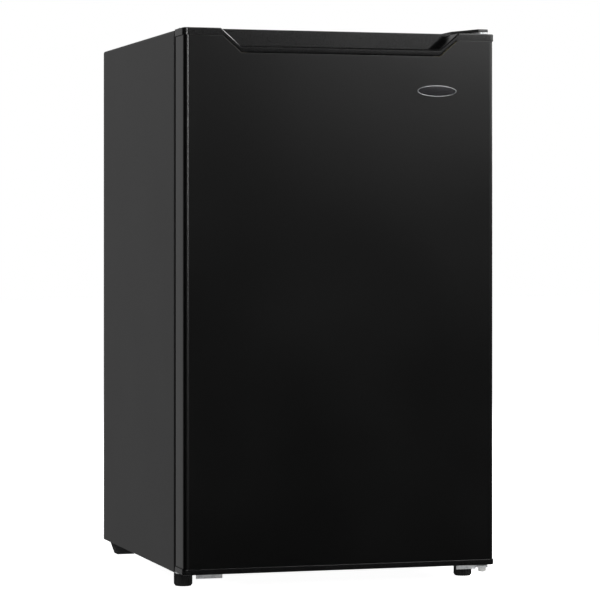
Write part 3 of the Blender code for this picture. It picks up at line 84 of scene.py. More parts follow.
class Value:
    """A number that varies over a surface. Its operators add Math nodes."""

    def __init__(self, sheet: "ShaderSheet", socket: bpy.types.NodeSocket) -> None:
        """Wraps the output socket of one of a sheet's nodes.

        Args:
            sheet: the node tree that the socket belongs to.
            socket: the output that carries the number.
        """
        self.sheet = sheet
        self.socket = socket

    def _math(self, operation: str, *terms: "Value | float") -> "Value":
        """Adds one Math node.

        Args:
            operation: the Math node's operation.
            terms: its inputs, in order.

        Returns:
            The node's result.
        """
        node = self.sheet.add("ShaderNodeMath", {"operation": operation}, dict(enumerate(terms)))
        return Value(self.sheet, node.outputs[0])

    def __add__(self, other: "Value | float") -> "Value":
        """self + other."""
        return self._math("ADD", self, other)

    def __sub__(self, other: "Value | float") -> "Value":
        """self - other."""
        return self._math("SUBTRACT", self, other)

    def __rsub__(self, other: float) -> "Value":
        """other - self."""
        return self._math("SUBTRACT", other, self)

    def __mul__(self, other: "Value | float") -> "Value":
        """self * other."""
        return self._math("MULTIPLY", self, other)

    __radd__ = __add__
    __rmul__ = __mul__

    def step(self, low: float, high: float) -> "Value":
        """A smooth step from 0 at low to 1 at high.

        Args:
            low: where the step starts.
            high: where it ends.

        Returns:
            The stepped value.
        """
        settings = {"interpolation_type": "SMOOTHSTEP"}
        inputs = {"Value": self, "From Min": low, "From Max": high}
        return Value(self.sheet, self.sheet.add("ShaderNodeMapRange", settings, inputs).outputs[0])


class NodeSheet:
    """A node tree, and the one method that adds nodes to it."""

    def __init__(self, tree: bpy.types.NodeTree) -> None:
        """Empties a node tree.

        Args:
            tree: the tree to be built.
        """
        self.tree = tree
        self.tree.nodes.clear()

    def add(self, kind: str, settings: dict | None = None, inputs: dict | None = None) -> bpy.types.Node:
        """Adds a node of any type.

        Args:
            kind: the node's type.
            settings: its properties, which are set first.
            inputs: socket names or numbers, with a plain value, a Value or an output for each.

        Returns:
            The node.
        """
        node = self.tree.nodes.new(kind)
        for key, setting in (settings or {}).items():
            setattr(node, key, setting)
        for key, given in (inputs or {}).items():
            self.connect(given, node.inputs[key])
        return node

    def connect(self, given: object, socket: bpy.types.NodeSocket) -> None:
        """Links a source to a socket, or sets the socket's own value.

        Args:
            given: a Value, an output socket or a plain value.
            socket: the input.
        """
        source = given.socket if isinstance(given, Value) else given
        if isinstance(source, bpy.types.NodeSocket):
            self.tree.links.new(source, socket)
        else:
            socket.default_value = source


class ShaderSheet(NodeSheet):
    """The node tree of a material or a world, with the textures that its finishes share."""

    def __init__(self, owner: bpy.types.Material | bpy.types.World) -> None:
        """Empties the owner's node tree.

        Args:
            owner: the material or the world to be built.
        """
        owner.use_nodes = True
        super().__init__(owner.node_tree)
        self.owner = owner
        self.coordinates = self.add("ShaderNodeTexCoord")
        self.place = self.coordinates.outputs["Object"]

    def noise(self, scale: float, detail: float = 2.0, stretch: Point = (1.0, 1.0, 1.0)) -> Value:
        """Noise over the piece, about 0.5 on the whole.

        Args:
            scale: blotches per metre.
            detail: how many finer layers it has.
            stretch: factors on X, Y and Z, for a grain that runs one way.

        Returns:
            The noise.
        """
        place = self.add("ShaderNodeMapping", None, {"Vector": self.place, "Scale": stretch}).outputs[0]
        inputs = {"Vector": place, "Scale": scale, "Detail": detail}
        return Value(self, self.add("ShaderNodeTexNoise", None, inputs).outputs["Fac"])

    def cells(self, scale: float) -> bpy.types.Node:
        """Voronoi cells over the piece.

        Args:
            scale: cells per metre.

        Returns:
            The Voronoi node.
        """
        return self.add("ShaderNodeTexVoronoi", None, {"Vector": self.place, "Scale": scale})

    def blend(self, share: Value, low: Colour, high: Colour) -> bpy.types.NodeSocket:
        """Mixes two colours.

        Args:
            share: how much of the second colour.
            low: the first colour, linear.
            high: the second colour, linear.

        Returns:
            The mixed colour.
        """
        inputs = {0: share, 6: (*low, 1.0), 7: (*high, 1.0)}
        return self.add("ShaderNodeMix", {"data_type": "RGBA"}, inputs).outputs[2]

    def bump(self, height: Value, depth: float) -> bpy.types.NodeSocket:
        """A bumped normal.

        Args:
            height: 0 to 1.
            depth: the full height, in metres.

        Returns:
            The normal.
        """
        return self.add("ShaderNodeBump", None, {"Height": height, "Distance": depth}).outputs["Normal"]

    def principled(self, **sockets: object) -> bpy.types.Material:
        """Ends the tree in a Principled shader.

        Args:
            sockets: the shader's inputs, with underscores for spaces.

        Returns:
            The material.
        """
        inputs = {name.replace("_", " "): given for name, given in sockets.items()}
        shader = self.add("ShaderNodeBsdfPrincipled", None, inputs)
        self.add("ShaderNodeOutputMaterial", None, {"Surface": shader.outputs[0]})
        return self.owner


# Finishes


@dataclass(frozen=True)
class Finish:
    """What every finish has: the material's name and its main colour."""

    name: str
    colour: Colour

    def sheet(self) -> ShaderSheet:
        """An empty sheet for this finish's material."""
        return ShaderSheet(bpy.data.materials.new(self.name))

    def shaded(self, factor: float, lift: float = 0.0) -> Colour:
        """The main colour, darker or lighter.

        Args:
            factor: what each channel is multiplied by.
            lift: what is then added.

        Returns:
            The colour.
        """
        return tuple(factor * channel + lift for channel in self.colour)

    def material(self) -> bpy.types.Material:
        """Builds the finish's material."""
        raise NotImplementedError


class Grain(Enum):
    """How a moulding's surface is broken up, as the depth of its texture in metres."""

    POLISHED = 0.000003
    SATIN = 0.00002
    SPARKED = 0.00006


@dataclass(frozen=True)
class Enamel(Finish):
    """Baked paint on steel: a faint orange peel, and haze where hands go."""

    roughness: float
    peel: float
    haze: float = 0.05
    ripple: float = 0.04

    def material(self) -> bpy.types.Material:
        """Builds the paint.

        Returns:
            The material.
        """
        sheet = self.sheet()
        handled = sheet.noise(scale=5.0, detail=3.0)
        peel = sheet.noise(scale=480.0, detail=2.0)
        speck = sheet.noise(scale=2600.0, detail=1.0)
        return sheet.principled(
            Base_Color=sheet.blend(handled.step(0.35, 0.75), self.colour, self.shaded(1.3, 0.0003)),
            Roughness=self.roughness + (handled - MEAN) * self.haze + (peel - MEAN) * self.ripple,
            Normal=sheet.bump(peel * 0.8 + speck * 0.2, self.peel),
        )


@dataclass(frozen=True)
class Moulding(Finish):
    """Moulded plastic with the mould's own texture."""

    roughness: float
    grain: Grain
    haze: float = 0.06
    pitting: float = 0.10

    def material(self) -> bpy.types.Material:
        """Builds the plastic.

        Returns:
            The material.
        """
        sheet = self.sheet()
        cloud = sheet.noise(scale=9.0, detail=3.0)
        texture = sheet.noise(scale=1500.0, detail=3.0)
        return sheet.principled(
            Base_Color=sheet.blend(cloud.step(0.3, 0.7), self.shaded(0.94), self.colour),
            Roughness=self.roughness + (cloud - MEAN) * self.haze + (texture - MEAN) * self.pitting,
            Normal=sheet.bump(texture, self.grain.value),
        )


@dataclass(frozen=True)
class Clear(Finish):
    """Clear plastic or glass, with the faint waves of its making."""

    roughness: float
    index: float
    wave: float
    haze: float = 0.04

    def material(self) -> bpy.types.Material:
        """Builds the clear finish.

        Returns:
            The material.
        """
        sheet = self.sheet()
        flow = sheet.noise(scale=30.0, detail=2.0)
        return sheet.principled(
            Base_Color=(*self.colour, 1.0),
            Roughness=self.roughness + flow * self.haze,
            Transmission_Weight=1.0,
            IOR=self.index,
            Normal=sheet.bump(flow, self.wave),
        )


@dataclass(frozen=True)
class Metal(Finish):
    """Bare or plated metal, with drawn grain and dull patches."""

    dull: Colour
    roughness: float
    stretch: tuple[float, float, float] = (1.0, 1.0, 1.0)
    shine: float = 1.0
    tarnish: float = 0.12
    scratch: float = 0.14
    scratch_depth: float = 0.00003

    def material(self) -> bpy.types.Material:
        """Builds the metal.

        Returns:
            The material.
        """
        sheet = self.sheet()
        patches = sheet.noise(scale=60.0, detail=4.0)
        drawn = sheet.noise(scale=420.0, detail=3.0, stretch=self.stretch)
        return sheet.principled(
            Base_Color=sheet.blend(patches.step(0.45, 0.75), self.colour, self.dull),
            Roughness=self.roughness + patches * self.tarnish + (drawn - MEAN) * self.scratch,
            Metallic=self.shine,
            Normal=sheet.bump(drawn, self.scratch_depth),
        )


@dataclass(frozen=True)
class Galvanised(Finish):
    """Hot-dipped zinc with its spangle, and the streaks of the rolling."""

    bright: Colour
    shine: float = 0.45
    roughness: float = 0.30
    crystal: float = 0.16
    streak: float = 0.12
    relief: float = 0.00002

    def material(self) -> bpy.types.Material:
        """Builds the zinc.

        Returns:
            The material.
        """
        sheet = self.sheet()
        crystals = sheet.cells(scale=230.0).outputs["Color"]
        tone = sheet.add("ShaderNodeSeparateColor", None, {"Color": crystals})
        spangle = Value(sheet, tone.outputs[0])
        streaks = sheet.noise(scale=300.0, detail=3.0, stretch=(1.0, 0.12, 1.0))
        return sheet.principled(
            Base_Color=sheet.blend(spangle, self.colour, self.bright),
            Roughness=self.roughness + spangle * self.crystal + (streaks - MEAN) * self.streak,
            Metallic=self.shine,
            Normal=sheet.bump(spangle + streaks, self.relief),
        )


@dataclass(frozen=True)
class Rubber(Finish):
    """Matt rubber with dust on it."""

    roughness: float
    variation: float = 0.12
    pore_depth: float = 0.00004

    def material(self) -> bpy.types.Material:
        """Builds the rubber.

        Returns:
            The material.
        """
        sheet = self.sheet()
        dust = sheet.noise(scale=70.0, detail=4.0)
        pores = sheet.noise(scale=1900.0, detail=2.0)
        return sheet.principled(
            Base_Color=sheet.blend(dust.step(0.5, 0.85), self.colour, self.shaded(2.0, 0.004)),
            Roughness=self.roughness + (pores - MEAN) * self.variation,
            Normal=sheet.bump(pores, self.pore_depth),
        )


@dataclass(frozen=True)
class Foam(Finish):
    """Poured insulation, with its cells, whose hollows are darkened with painted shade."""

    roughness: float = 0.95
    cell_depth: float = 0.0003

    def material(self) -> bpy.types.Material:
        """Builds the foam.

        Returns:
            The material.
        """
        sheet = self.sheet()
        cells = Value(sheet, sheet.cells(scale=900.0).outputs["Distance"])
        return sheet.principled(
            # painted shade: the colour darkens towards each cell's middle, where the bump sinks it into a
            # hollow
            Base_Color=sheet.blend(cells.step(0.1, 0.7), self.shaded(0.7), self.colour),
            Roughness=self.roughness - cells * 0.1,
            Normal=sheet.bump(cells, self.cell_depth),
        )


DOOR_ENAMEL = Enamel("black_door_enamel", (0.0010, 0.0010, 0.0010), 0.30, 0.000006)
BODY_ENAMEL = Enamel("black_body_enamel", (0.006, 0.006, 0.0061), 0.42, 0.00003)
CAP_PLASTIC = Moulding("black_cap_plastic", (0.003, 0.003, 0.0031), 0.27, Grain.POLISHED)
COVER_PLASTIC = Moulding("hinge_cover_plastic", (0.010, 0.010, 0.010), 0.45, Grain.SPARKED)
SERVICE_PLASTIC = Moulding("service_plastic", (0.014, 0.014, 0.015), 0.5, Grain.SPARKED)
LINER_PLASTIC = Moulding("white_liner_plastic", (0.76, 0.78, 0.79), 0.32, Grain.POLISHED)
TRIM_PLASTIC = Moulding("white_trim_plastic", (0.80, 0.81, 0.82), 0.36, Grain.SATIN)
DIAL_PRINT = Moulding("grey_dial_print", (0.10, 0.11, 0.12), 0.5, Grain.SATIN)
TRAY_PLASTIC = Clear("clear_tray_plastic", (0.93, 0.96, 0.97), 0.05, 1.5, 0.00003)
SHELF_PANE = Clear("shelf_glass", (0.90, 0.97, 0.95), 0.0, 1.5, 0.000002)
POURED_FOAM = Foam("poured_foam", (0.78, 0.68, 0.42))
ZINC_SHEET = Galvanised("galvanised_sheet", (0.55, 0.56, 0.57), (0.80, 0.81, 0.82))
ZINC_PLATE = Metal("zinc_plated_steel", (0.78, 0.78, 0.76), (0.56, 0.56, 0.54), 0.26, shine=0.55)
COPPER_PIPE = Metal("copper_pipe", (0.80, 0.42, 0.26), (0.42, 0.20, 0.12), 0.24, (1.0, 1.0, 0.1))
ROLLED_ALUMINIUM = Metal("rolled_aluminium", (0.80, 0.81, 0.82), (0.68, 0.69, 0.70), 0.3, (0.08, 1.0, 1.0))
FOOT_RUBBER = Rubber("black_rubber", (0.008, 0.008, 0.008), 0.72)
SEAL_RUBBER = Rubber("seal_rubber", (0.012, 0.012, 0.012), 0.6)
SHELL_ENAMEL = Enamel("compressor_enamel", (0.010, 0.010, 0.010), 0.36, 0.00005)
BADGE_ENAMEL = Enamel("badge_enamel", (0.010, 0.010, 0.011), 0.20, 0.000002)
BADGE_CHROME = Metal("badge_chrome", (0.50, 0.50, 0.51), (0.40, 0.40, 0.41), 0.24)


@cache
def material_of(finish: Finish) -> bpy.types.Material:
    """Builds a finish's material the first time it is asked for.

    Args:
        finish: the finish.

    Returns:
        Its material.
    """
    return finish.material()


# Shaping


@cache
def smoothing_group(limit: float = REAL_EDGE) -> bpy.types.NodeTree:
    """Geometry nodes that smooth a faceted round and keep its real edges crisp.

    Args:
        limit: the angle, in radians, from which an edge counts as real.

    Returns:
        The node group.
    """
    group = bpy.data.node_groups.new("smooth_rounds", "GeometryNodeTree")
    group.interface.new_socket("Geometry", in_out="INPUT", socket_type="NodeSocketGeometry")
    group.interface.new_socket("Geometry", in_out="OUTPUT", socket_type="NodeSocketGeometry")
    sheet = NodeSheet(group)
    start = sheet.add("NodeGroupInput")
    inputs = {"Geometry": start.outputs[0], "Name": "custom_normal"}
    plain = sheet.add("GeometryNodeRemoveAttribute", None, inputs)
    faces = sheet.add("GeometryNodeSetShadeSmooth", None, {"Geometry": plain.outputs[0]})
    angle = sheet.add("GeometryNodeInputMeshEdgeAngle")
    slight = sheet.add("FunctionNodeCompare", {"operation": "LESS_THAN"}, {0: angle.outputs[0], 1: limit})
    inputs = {"Geometry": faces.outputs[0], "Shade Smooth": slight.outputs[0]}
    edges = sheet.add("GeometryNodeSetShadeSmooth", {"domain": "EDGE"}, inputs)
    sheet.add("NodeGroupOutput", None, {0: edges.outputs[0]})
    return group


def soften(obj: bpy.types.Object, edge: float, segments: int = 2) -> None:
    """Rounds a solid's hard edges and smooths its faceted curves.

    Args:
        obj: the solid.
        edge: the width of the rounding, in metres, or 0 for none.
        segments: how many strips a rounded edge has.
    """
    obj.modifiers.new("weld", "WELD").merge_threshold = 1e-5
    plain = obj.modifiers.new("plain_faces", "DECIMATE")
    plain.decimate_type = "DISSOLVE"
    plain.angle_limit = radians(0.5)
    if edge:
        bevel = obj.modifiers.new("edges", "BEVEL")
        bevel.width, bevel.segments = edge, segments
        bevel.limit_method, bevel.angle_limit = "ANGLE", REAL_EDGE
        bevel.use_clamp_overlap = True
    obj.modifiers.new("smooth", "NODES").node_group = smoothing_group()
    weighted = obj.modifiers.new("normals", "WEIGHTED_NORMAL")
    weighted.keep_sharp = True


def dress(name: str, finish: Finish, edge: float = 0.0) -> None:
    """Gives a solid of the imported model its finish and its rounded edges.

    Args:
        name: the solid's name.
        finish: its finish.
        edge: the width of its rounded edges, in metres.
    """
    node = frame["nodes"][name]
    node.data.materials.clear()
    node.data.materials.append(material_of(finish))
    soften(node, edge)
    LOG.info("%s dressed in %s", name, finish.name)


class Shape:
    """A mesh in the making, in world coordinates."""

    def __init__(self) -> None:
        """Starts empty."""
        self.bm = bmesh.new()

    def ring(self, points: Sequence[Point]) -> list[bmesh.types.BMVert]:
        """Adds a row of points.

        Args:
            points: where they are.

        Returns:
            The vertices.
        """
        return [self.bm.verts.new(point) for point in points]

    def loft(self, rows: Sequence[Sequence[Point]], caps: bool = True, around: bool = False) -> None:
        """Skins closed rows of equal length.

        Args:
            rows: the rows, in order.
            caps: whether the first and last rows are filled.
            around: whether the last row joins the first.
        """
        rings = [self.ring(row) for row in rows]
        pairs = list(zip(rings, rings[1:] + rings[:1])) if around else list(zip(rings, rings[1:]))
        for lower, upper in pairs:
            count = len(lower)
            for i in range(count):
                j = (i + 1) % count
                self.bm.faces.new((lower[i], lower[j], upper[j], upper[i]))
        if caps and not around:
            self.bm.faces.new(list(reversed(rings[0])))
            self.bm.faces.new(rings[-1])

    def block(self, low: Point, high: Point, turn: Matrix | None = None) -> None:
        """Adds a block between two corners.

        Args:
            low: its lowest corner.
            high: its highest corner.
            turn: a transform applied to the block afterwards.
        """
        (x0, y0, z0), (x1, y1, z1) = low, high
        rows = [[(x0, y0, z), (x1, y0, z), (x1, y1, z), (x0, y1, z)] for z in (z0, z1)]
        if turn:
            rows = [[turn @ Vector(point) for point in row] for row in rows]
        self.loft(rows)

    def piece(
        self, name: str, finish: Finish, body: str, slot: str, stands_for: Sequence[str] = (),
    ) -> bpy.types.Object:
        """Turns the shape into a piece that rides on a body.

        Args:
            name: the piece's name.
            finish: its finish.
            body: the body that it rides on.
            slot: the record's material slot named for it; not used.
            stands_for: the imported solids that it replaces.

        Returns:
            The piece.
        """
        bmesh.ops.recalc_face_normals(self.bm, faces=self.bm.faces)
        mesh = bpy.data.meshes.new(name)
        self.bm.to_mesh(mesh)
        self.bm.free()
        mesh.materials.append(material_of(finish))
        obj = bpy.data.objects.new(name, mesh)
        bpy.context.scene.collection.objects.link(obj)
        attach(obj, body)
        if stands_for:
            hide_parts(*stands_for)
        LOG.info("%s made, riding on %s", name, body)
        return obj


def smooth_loop(points: Sequence[Point], steps: int = 4) -> list[tuple[float, float]]:
    """A closed smooth curve through points in a plane.

    Args:
        points: the points, in order.
        steps: how many points the curve has for each given one.

    Returns:
        The curve's points.
    """
    count = len(points)
    loop = []
    for i in range(count):
        before, start, end, after = (points[(i + k) % count] for k in (-1, 0, 1, 2))
        for step in range(steps):
            t = step / steps
            loop.append(tuple(
                0.5 * (
                    2 * s + (e - b) * t + (2 * b - 5 * s + 4 * e - a) * t**2
                    + (3 * s - 3 * e + a - b) * t**3
                )
                for b, s, e, a in zip(before, start, end, after)
            ))
    return loop


def frame_rows(profile: Sequence[Point], low: Point, high: Point) -> list[list[Point]]:
    """A profile carried round an upright rectangle with mitred corners.

    Args:
        profile: (inset, y) points.
        low: the rectangle's lowest x and z.
        high: its highest x and z.

    Returns:
        One closed row for each profile point.
    """
    rows = []
    for inset, y in profile:
        x0, z0, x1, z1 = low[0] + inset, low[1] + inset, high[0] - inset, high[1] - inset
        rows.append([(x0, y, z0), (x1, y, z0), (x1, y, z1), (x0, y, z1)])
    return rows


def carve(piece: bpy.types.Object, cutter: Shape) -> None:
    """Cuts a shape out of a piece for good.

    Args:
        piece: the piece.
        cutter: the shape, which is used up.
    """
    bmesh.ops.recalc_face_normals(cutter.bm, faces=cutter.bm.faces)
    mesh = bpy.data.meshes.new("cutter")
    cutter.bm.to_mesh(mesh)
    cutter.bm.free()
    tool = bpy.data.objects.new("cutter", mesh)
    bpy.context.scene.collection.objects.link(tool)
    modifier = piece.modifiers.new("carve", "BOOLEAN")
    modifier.object, modifier.operation, modifier.solver = tool, "DIFFERENCE", "EXACT"
    bpy.context.view_layer.update()
    graph = bpy.context.evaluated_depsgraph_get()
    carved = bpy.data.meshes.new_from_object(piece.evaluated_get(graph))
    piece.modifiers.remove(modifier)
    piece.data = carved
    bpy.data.objects.remove(tool)


# Sub-assemblies


@dataclass
class Cabinet:
    """The steel body, its white lining and the cold circuit hidden in it."""

    sheet_edge: float = 0.0004
    liner_edge: float = 0.0008
    bay_height: float = 0.187
    ridge_count: int = 3
    ridge_width: float = 0.014
    ridge_height: float = 0.0012
    ridge_root: float = 0.0003
    ridge_margin: float = 0.050
    ridge_foot: float = 0.035
    ridge_gap: float = 0.025
    ridge_edge: float = 0.0008
    ridge_section: tuple[tuple[float, float], ...] = (
        (0.0, 0.0), (0.18, 0.55), (0.32, 1.0), (0.68, 1.0), (0.82, 0.55), (1.0, 0.0),
    )

    def build(self) -> None:
        """Dresses the solids and raises the rear sheet's stiffening ridges."""
        for name in ("cabinet_wrap", "back_panel", "base_panel"):
            dress(name, BODY_ENAMEL, self.sheet_edge)
        dress("inner_liner", LINER_PLASTIC, self.liner_edge)
        dress("cabinet_foam", POURED_FOAM)
        dress("evaporator_plate", ROLLED_ALUMINIUM)
        dress("condenser_coil", COPPER_PIPE)
        dress("drain_tube", TRIM_PLASTIC)
        self._ridges()

    def _ridges(self) -> None:
        """Pressed frames, one above the other, on the rear sheet."""
        low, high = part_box("back_panel")
        bay_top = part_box("compressor_mount_plate")[0].z + self.bay_height
        margin, count = self.ridge_margin, self.ridge_count
        root = high.y - self.ridge_root
        section = [(self.ridge_width * u, root + self.ridge_height * v) for u, v in self.ridge_section]
        bottom, top = bay_top + self.ridge_foot, high.z - margin
        height = (top - bottom - (count - 1) * self.ridge_gap) / count
        shape = Shape()
        for number in range(count):
            z = bottom + number * (height + self.ridge_gap)
            rows = frame_rows(section, (low.x + margin, z), (high.x - margin, z + height))
            shape.loft(rows, caps=False, around=True)
        ridges = shape.piece("back_panel_ridges", BODY_ENAMEL, "cabinet", "painted_steel")
        soften(ridges, self.ridge_edge)


@dataclass
class BackScrews:
    """Pan-head screws with a cross recess, which hold the rear sheet."""

    head: float = 0.0042
    rise: float = 0.0010
    head_section: tuple[tuple[float, float], ...] = (
        (1.0, 0.0), (1.0, 0.3), (0.92, 0.62), (0.72, 0.88), (0.4, 1.0),
    )
    shank: float = 0.0020
    shank_tip: float = 0.0018
    seat_depth: float = 0.0010
    slot_width: float = 0.0010
    slot_length: float = 0.0046
    slot_floor: float = 0.35
    steps: int = 32
    places: tuple[str, ...] = ("upper_left", "upper_right", "lower_left", "lower_right")

    def build(self) -> None:
        """Makes each screw."""
        for place in self.places:
            node = f"back_screw_{place}"
            low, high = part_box(node)
            seat = Vector(((low.x + high.x) / 2, high.y - self.seat_depth, (low.z + high.z) / 2))
            self._screw(node, seat, low.y)

    def _screw(self, node: str, seat: Vector, tip: float) -> None:
        """One screw.

        Args:
            node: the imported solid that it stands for.
            seat: the middle of the head's underside.
            tip: the y of the shank's end.
        """
        outline = [(self.shank_tip, tip - seat.y), (self.shank, 0.0)]
        outline += [(self.head * u, self.rise * v) for u, v in self.head_section]
        turns = [2 * pi * step / self.steps for step in range(self.steps)]
        shape = Shape()
        shape.loft([[seat + Vector((r * cos(a), y, r * sin(a))) for a in turns] for r, y in outline])
        screw = shape.piece(f"{node}_head", ZINC_PLATE, "cabinet", "zinc_steel", (node,))
        half, length = self.slot_width / 2, self.slot_length / 2
        for turn in (45.0, 135.0):
            cutter = Shape()
            spin = Matrix.Translation(seat) @ Matrix.Rotation(radians(turn), 4, "Y")
            floor = self.rise * self.slot_floor
            cutter.block((-length, floor, -half), (length, self.rise * 2, half), spin)
            carve(screw, cutter)
        soften(screw, 0.0)


@dataclass
class Door:
    """The steel front, its two caps and the white inner panel."""

    skin_edge: float = 0.0005
    top_cap_edge: float = 0.0008
    bottom_cap_edge: float = 0.0016
    liner_edge: float = 0.0015
    recess_depth: float = 0.042
    recess_floor: float = 0.045
    recess_half: float = 0.1855
    recess_slope: float = 41 / 36
    corner: float = 0.012
    corner_steps: int = 8
    corner_top: float = 0.0018
    bite: float = 0.0005
    ridge: float = 0.002

    def build(self) -> None:
        """Dresses the solids and rounds the back corners of the handle recess."""
        dress("door_skin", DOOR_ENAMEL, self.skin_edge)
        dress("door_top_cap", CAP_PLASTIC, self.top_cap_edge)
        dress("door_bottom_cap", CAP_PLASTIC, self.bottom_cap_edge)
        dress("door_liner", LINER_PLASTIC, self.liner_edge)
        dress("door_foam", POURED_FOAM)
        for name, side in (("left", -1), ("right", 1)):
            self._corner(f"recess_{name}_corner", side)

    def _corner(self, name: str, side: int) -> None:
        """A hollow curve between the recess's back wall and one side wall.

        Args:
            name: the piece's name.
            side: -1 for the left, 1 for the right.
        """
        front, ridge_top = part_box("door_skin")[0].y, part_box("door_top_cap")[1].z
        top, back = ridge_top - self.ridge, front + self.recess_depth
        turns = [pi / 2 * step / self.corner_steps for step in range(self.corner_steps + 1)]
        rows = []
        for drop in (self.recess_floor, self.corner_top):
            wall = self.recess_half - self.recess_slope * drop
            near, centre = wall - self.corner, back - self.corner
            arc = [(near + self.corner * sin(t), centre + self.corner * cos(t)) for t in turns]
            side_x, back_y = wall + self.bite, back + self.bite
            arc += [(side_x, centre), (side_x, back_y), (near, back_y)]
            rows.append([(side * x, y, top - drop) for x, y in arc])
        shape = Shape()
        shape.loft(rows)
        soften(shape.piece(name, CAP_PLASTIC, "door", "black_plastic"), 0.0)


@dataclass
class Badge:
    """A blank oval badge: a polished rim round a dark, slightly domed face."""

    rim: float = 0.0008
    rim_root: float = 0.0003
    rim_flatness: float = 0.55
    rim_steps: int = 12
    face_sink: float = 0.00035
    dome: tuple[tuple[float, float, float], ...] = ((0.75, 0.70, 0.00018), (0.35, 0.30, 0.0001))
    steps: int = 96

    def build(self) -> None:
        """Makes the face and the rim."""
        low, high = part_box("door_badge")
        centre, half = (low + high) / 2, (high - low) / 2
        back, front, rim = high.y, low.y, self.rim
        face = Shape()
        face.loft([
            self._row(centre, half.x - rim * 0.5, half.z - rim * 0.5, back),
            self._row(centre, half.x - rim * 0.6, half.z - rim * 0.6, front + self.face_sink),
            *(self._row(centre, half.x * u, half.z * v, front + sink) for u, v, sink in self.dome),
        ])
        soften(face.piece("badge_face", BADGE_ENAMEL, "door", "badge_metal", ("door_badge",)), 0.0)
        turns = [2 * pi * step / self.rim_steps for step in range(self.rim_steps)]
        rows = []
        for turn in turns:
            inset, rise = rim / 2 * (1 + cos(turn)), rim / 2 * sin(turn)
            y = front + self.rim_root - rise * self.rim_flatness
            rows.append(self._row(centre, half.x - inset, half.z - inset, y))
        shape = Shape()
        shape.loft(rows, caps=False, around=True)
        soften(shape.piece("badge_rim", BADGE_CHROME, "door", "badge_metal"), 0.0)

    def _row(self, centre: Vector, half_x: float, half_z: float, y: float) -> list[Point]:
        """One oval of points.

        Args:
            centre: the badge's middle.
            half_x: half the oval's length.
            half_z: half its height.
            y: its plane.

        Returns:
            The points.
        """
        turns = (2 * pi * i / self.steps for i in range(self.steps))
        return [(centre.x + half_x * cos(a), y, centre.z + half_z * sin(a)) for a in turns]


@dataclass
class Gasket:
    """The magnetic seal: a base in the door, a bellows and a flat magnet pocket."""

    section: tuple[tuple[float, float], ...] = (
        (0.06, 0.02), (0.50, 0.00), (0.94, 0.02), (0.96, 0.14), (0.76, 0.20), (0.72, 0.27), (0.86, 0.36),
        (0.85, 0.44), (0.74, 0.50), (0.80, 0.58), (0.96, 0.64), (0.99, 0.80), (0.97, 0.97), (0.50, 1.00),
        (0.03, 0.97), (0.01, 0.80), (0.04, 0.64), (0.20, 0.58), (0.26, 0.50), (0.15, 0.44), (0.14, 0.36),
        (0.28, 0.27), (0.24, 0.20), (0.04, 0.14),
    )
    width: float = 0.018
    curve_steps: int = 3

    def build(self) -> None:
        """Carries the section round the door."""
        low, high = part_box("door_gasket")
        depth = high.y - low.y
        curve = smooth_loop(self.section, self.curve_steps)
        profile = [(u * self.width, low.y + v * depth) for u, v in curve]
        shape = Shape()
        shape.loft(frame_rows(profile, (low.x, low.z), (high.x, high.z)), caps=False, around=True)
        soften(shape.piece("gasket_bellows", SEAL_RUBBER, "door", "gasket", ("door_gasket",)), 0.0)


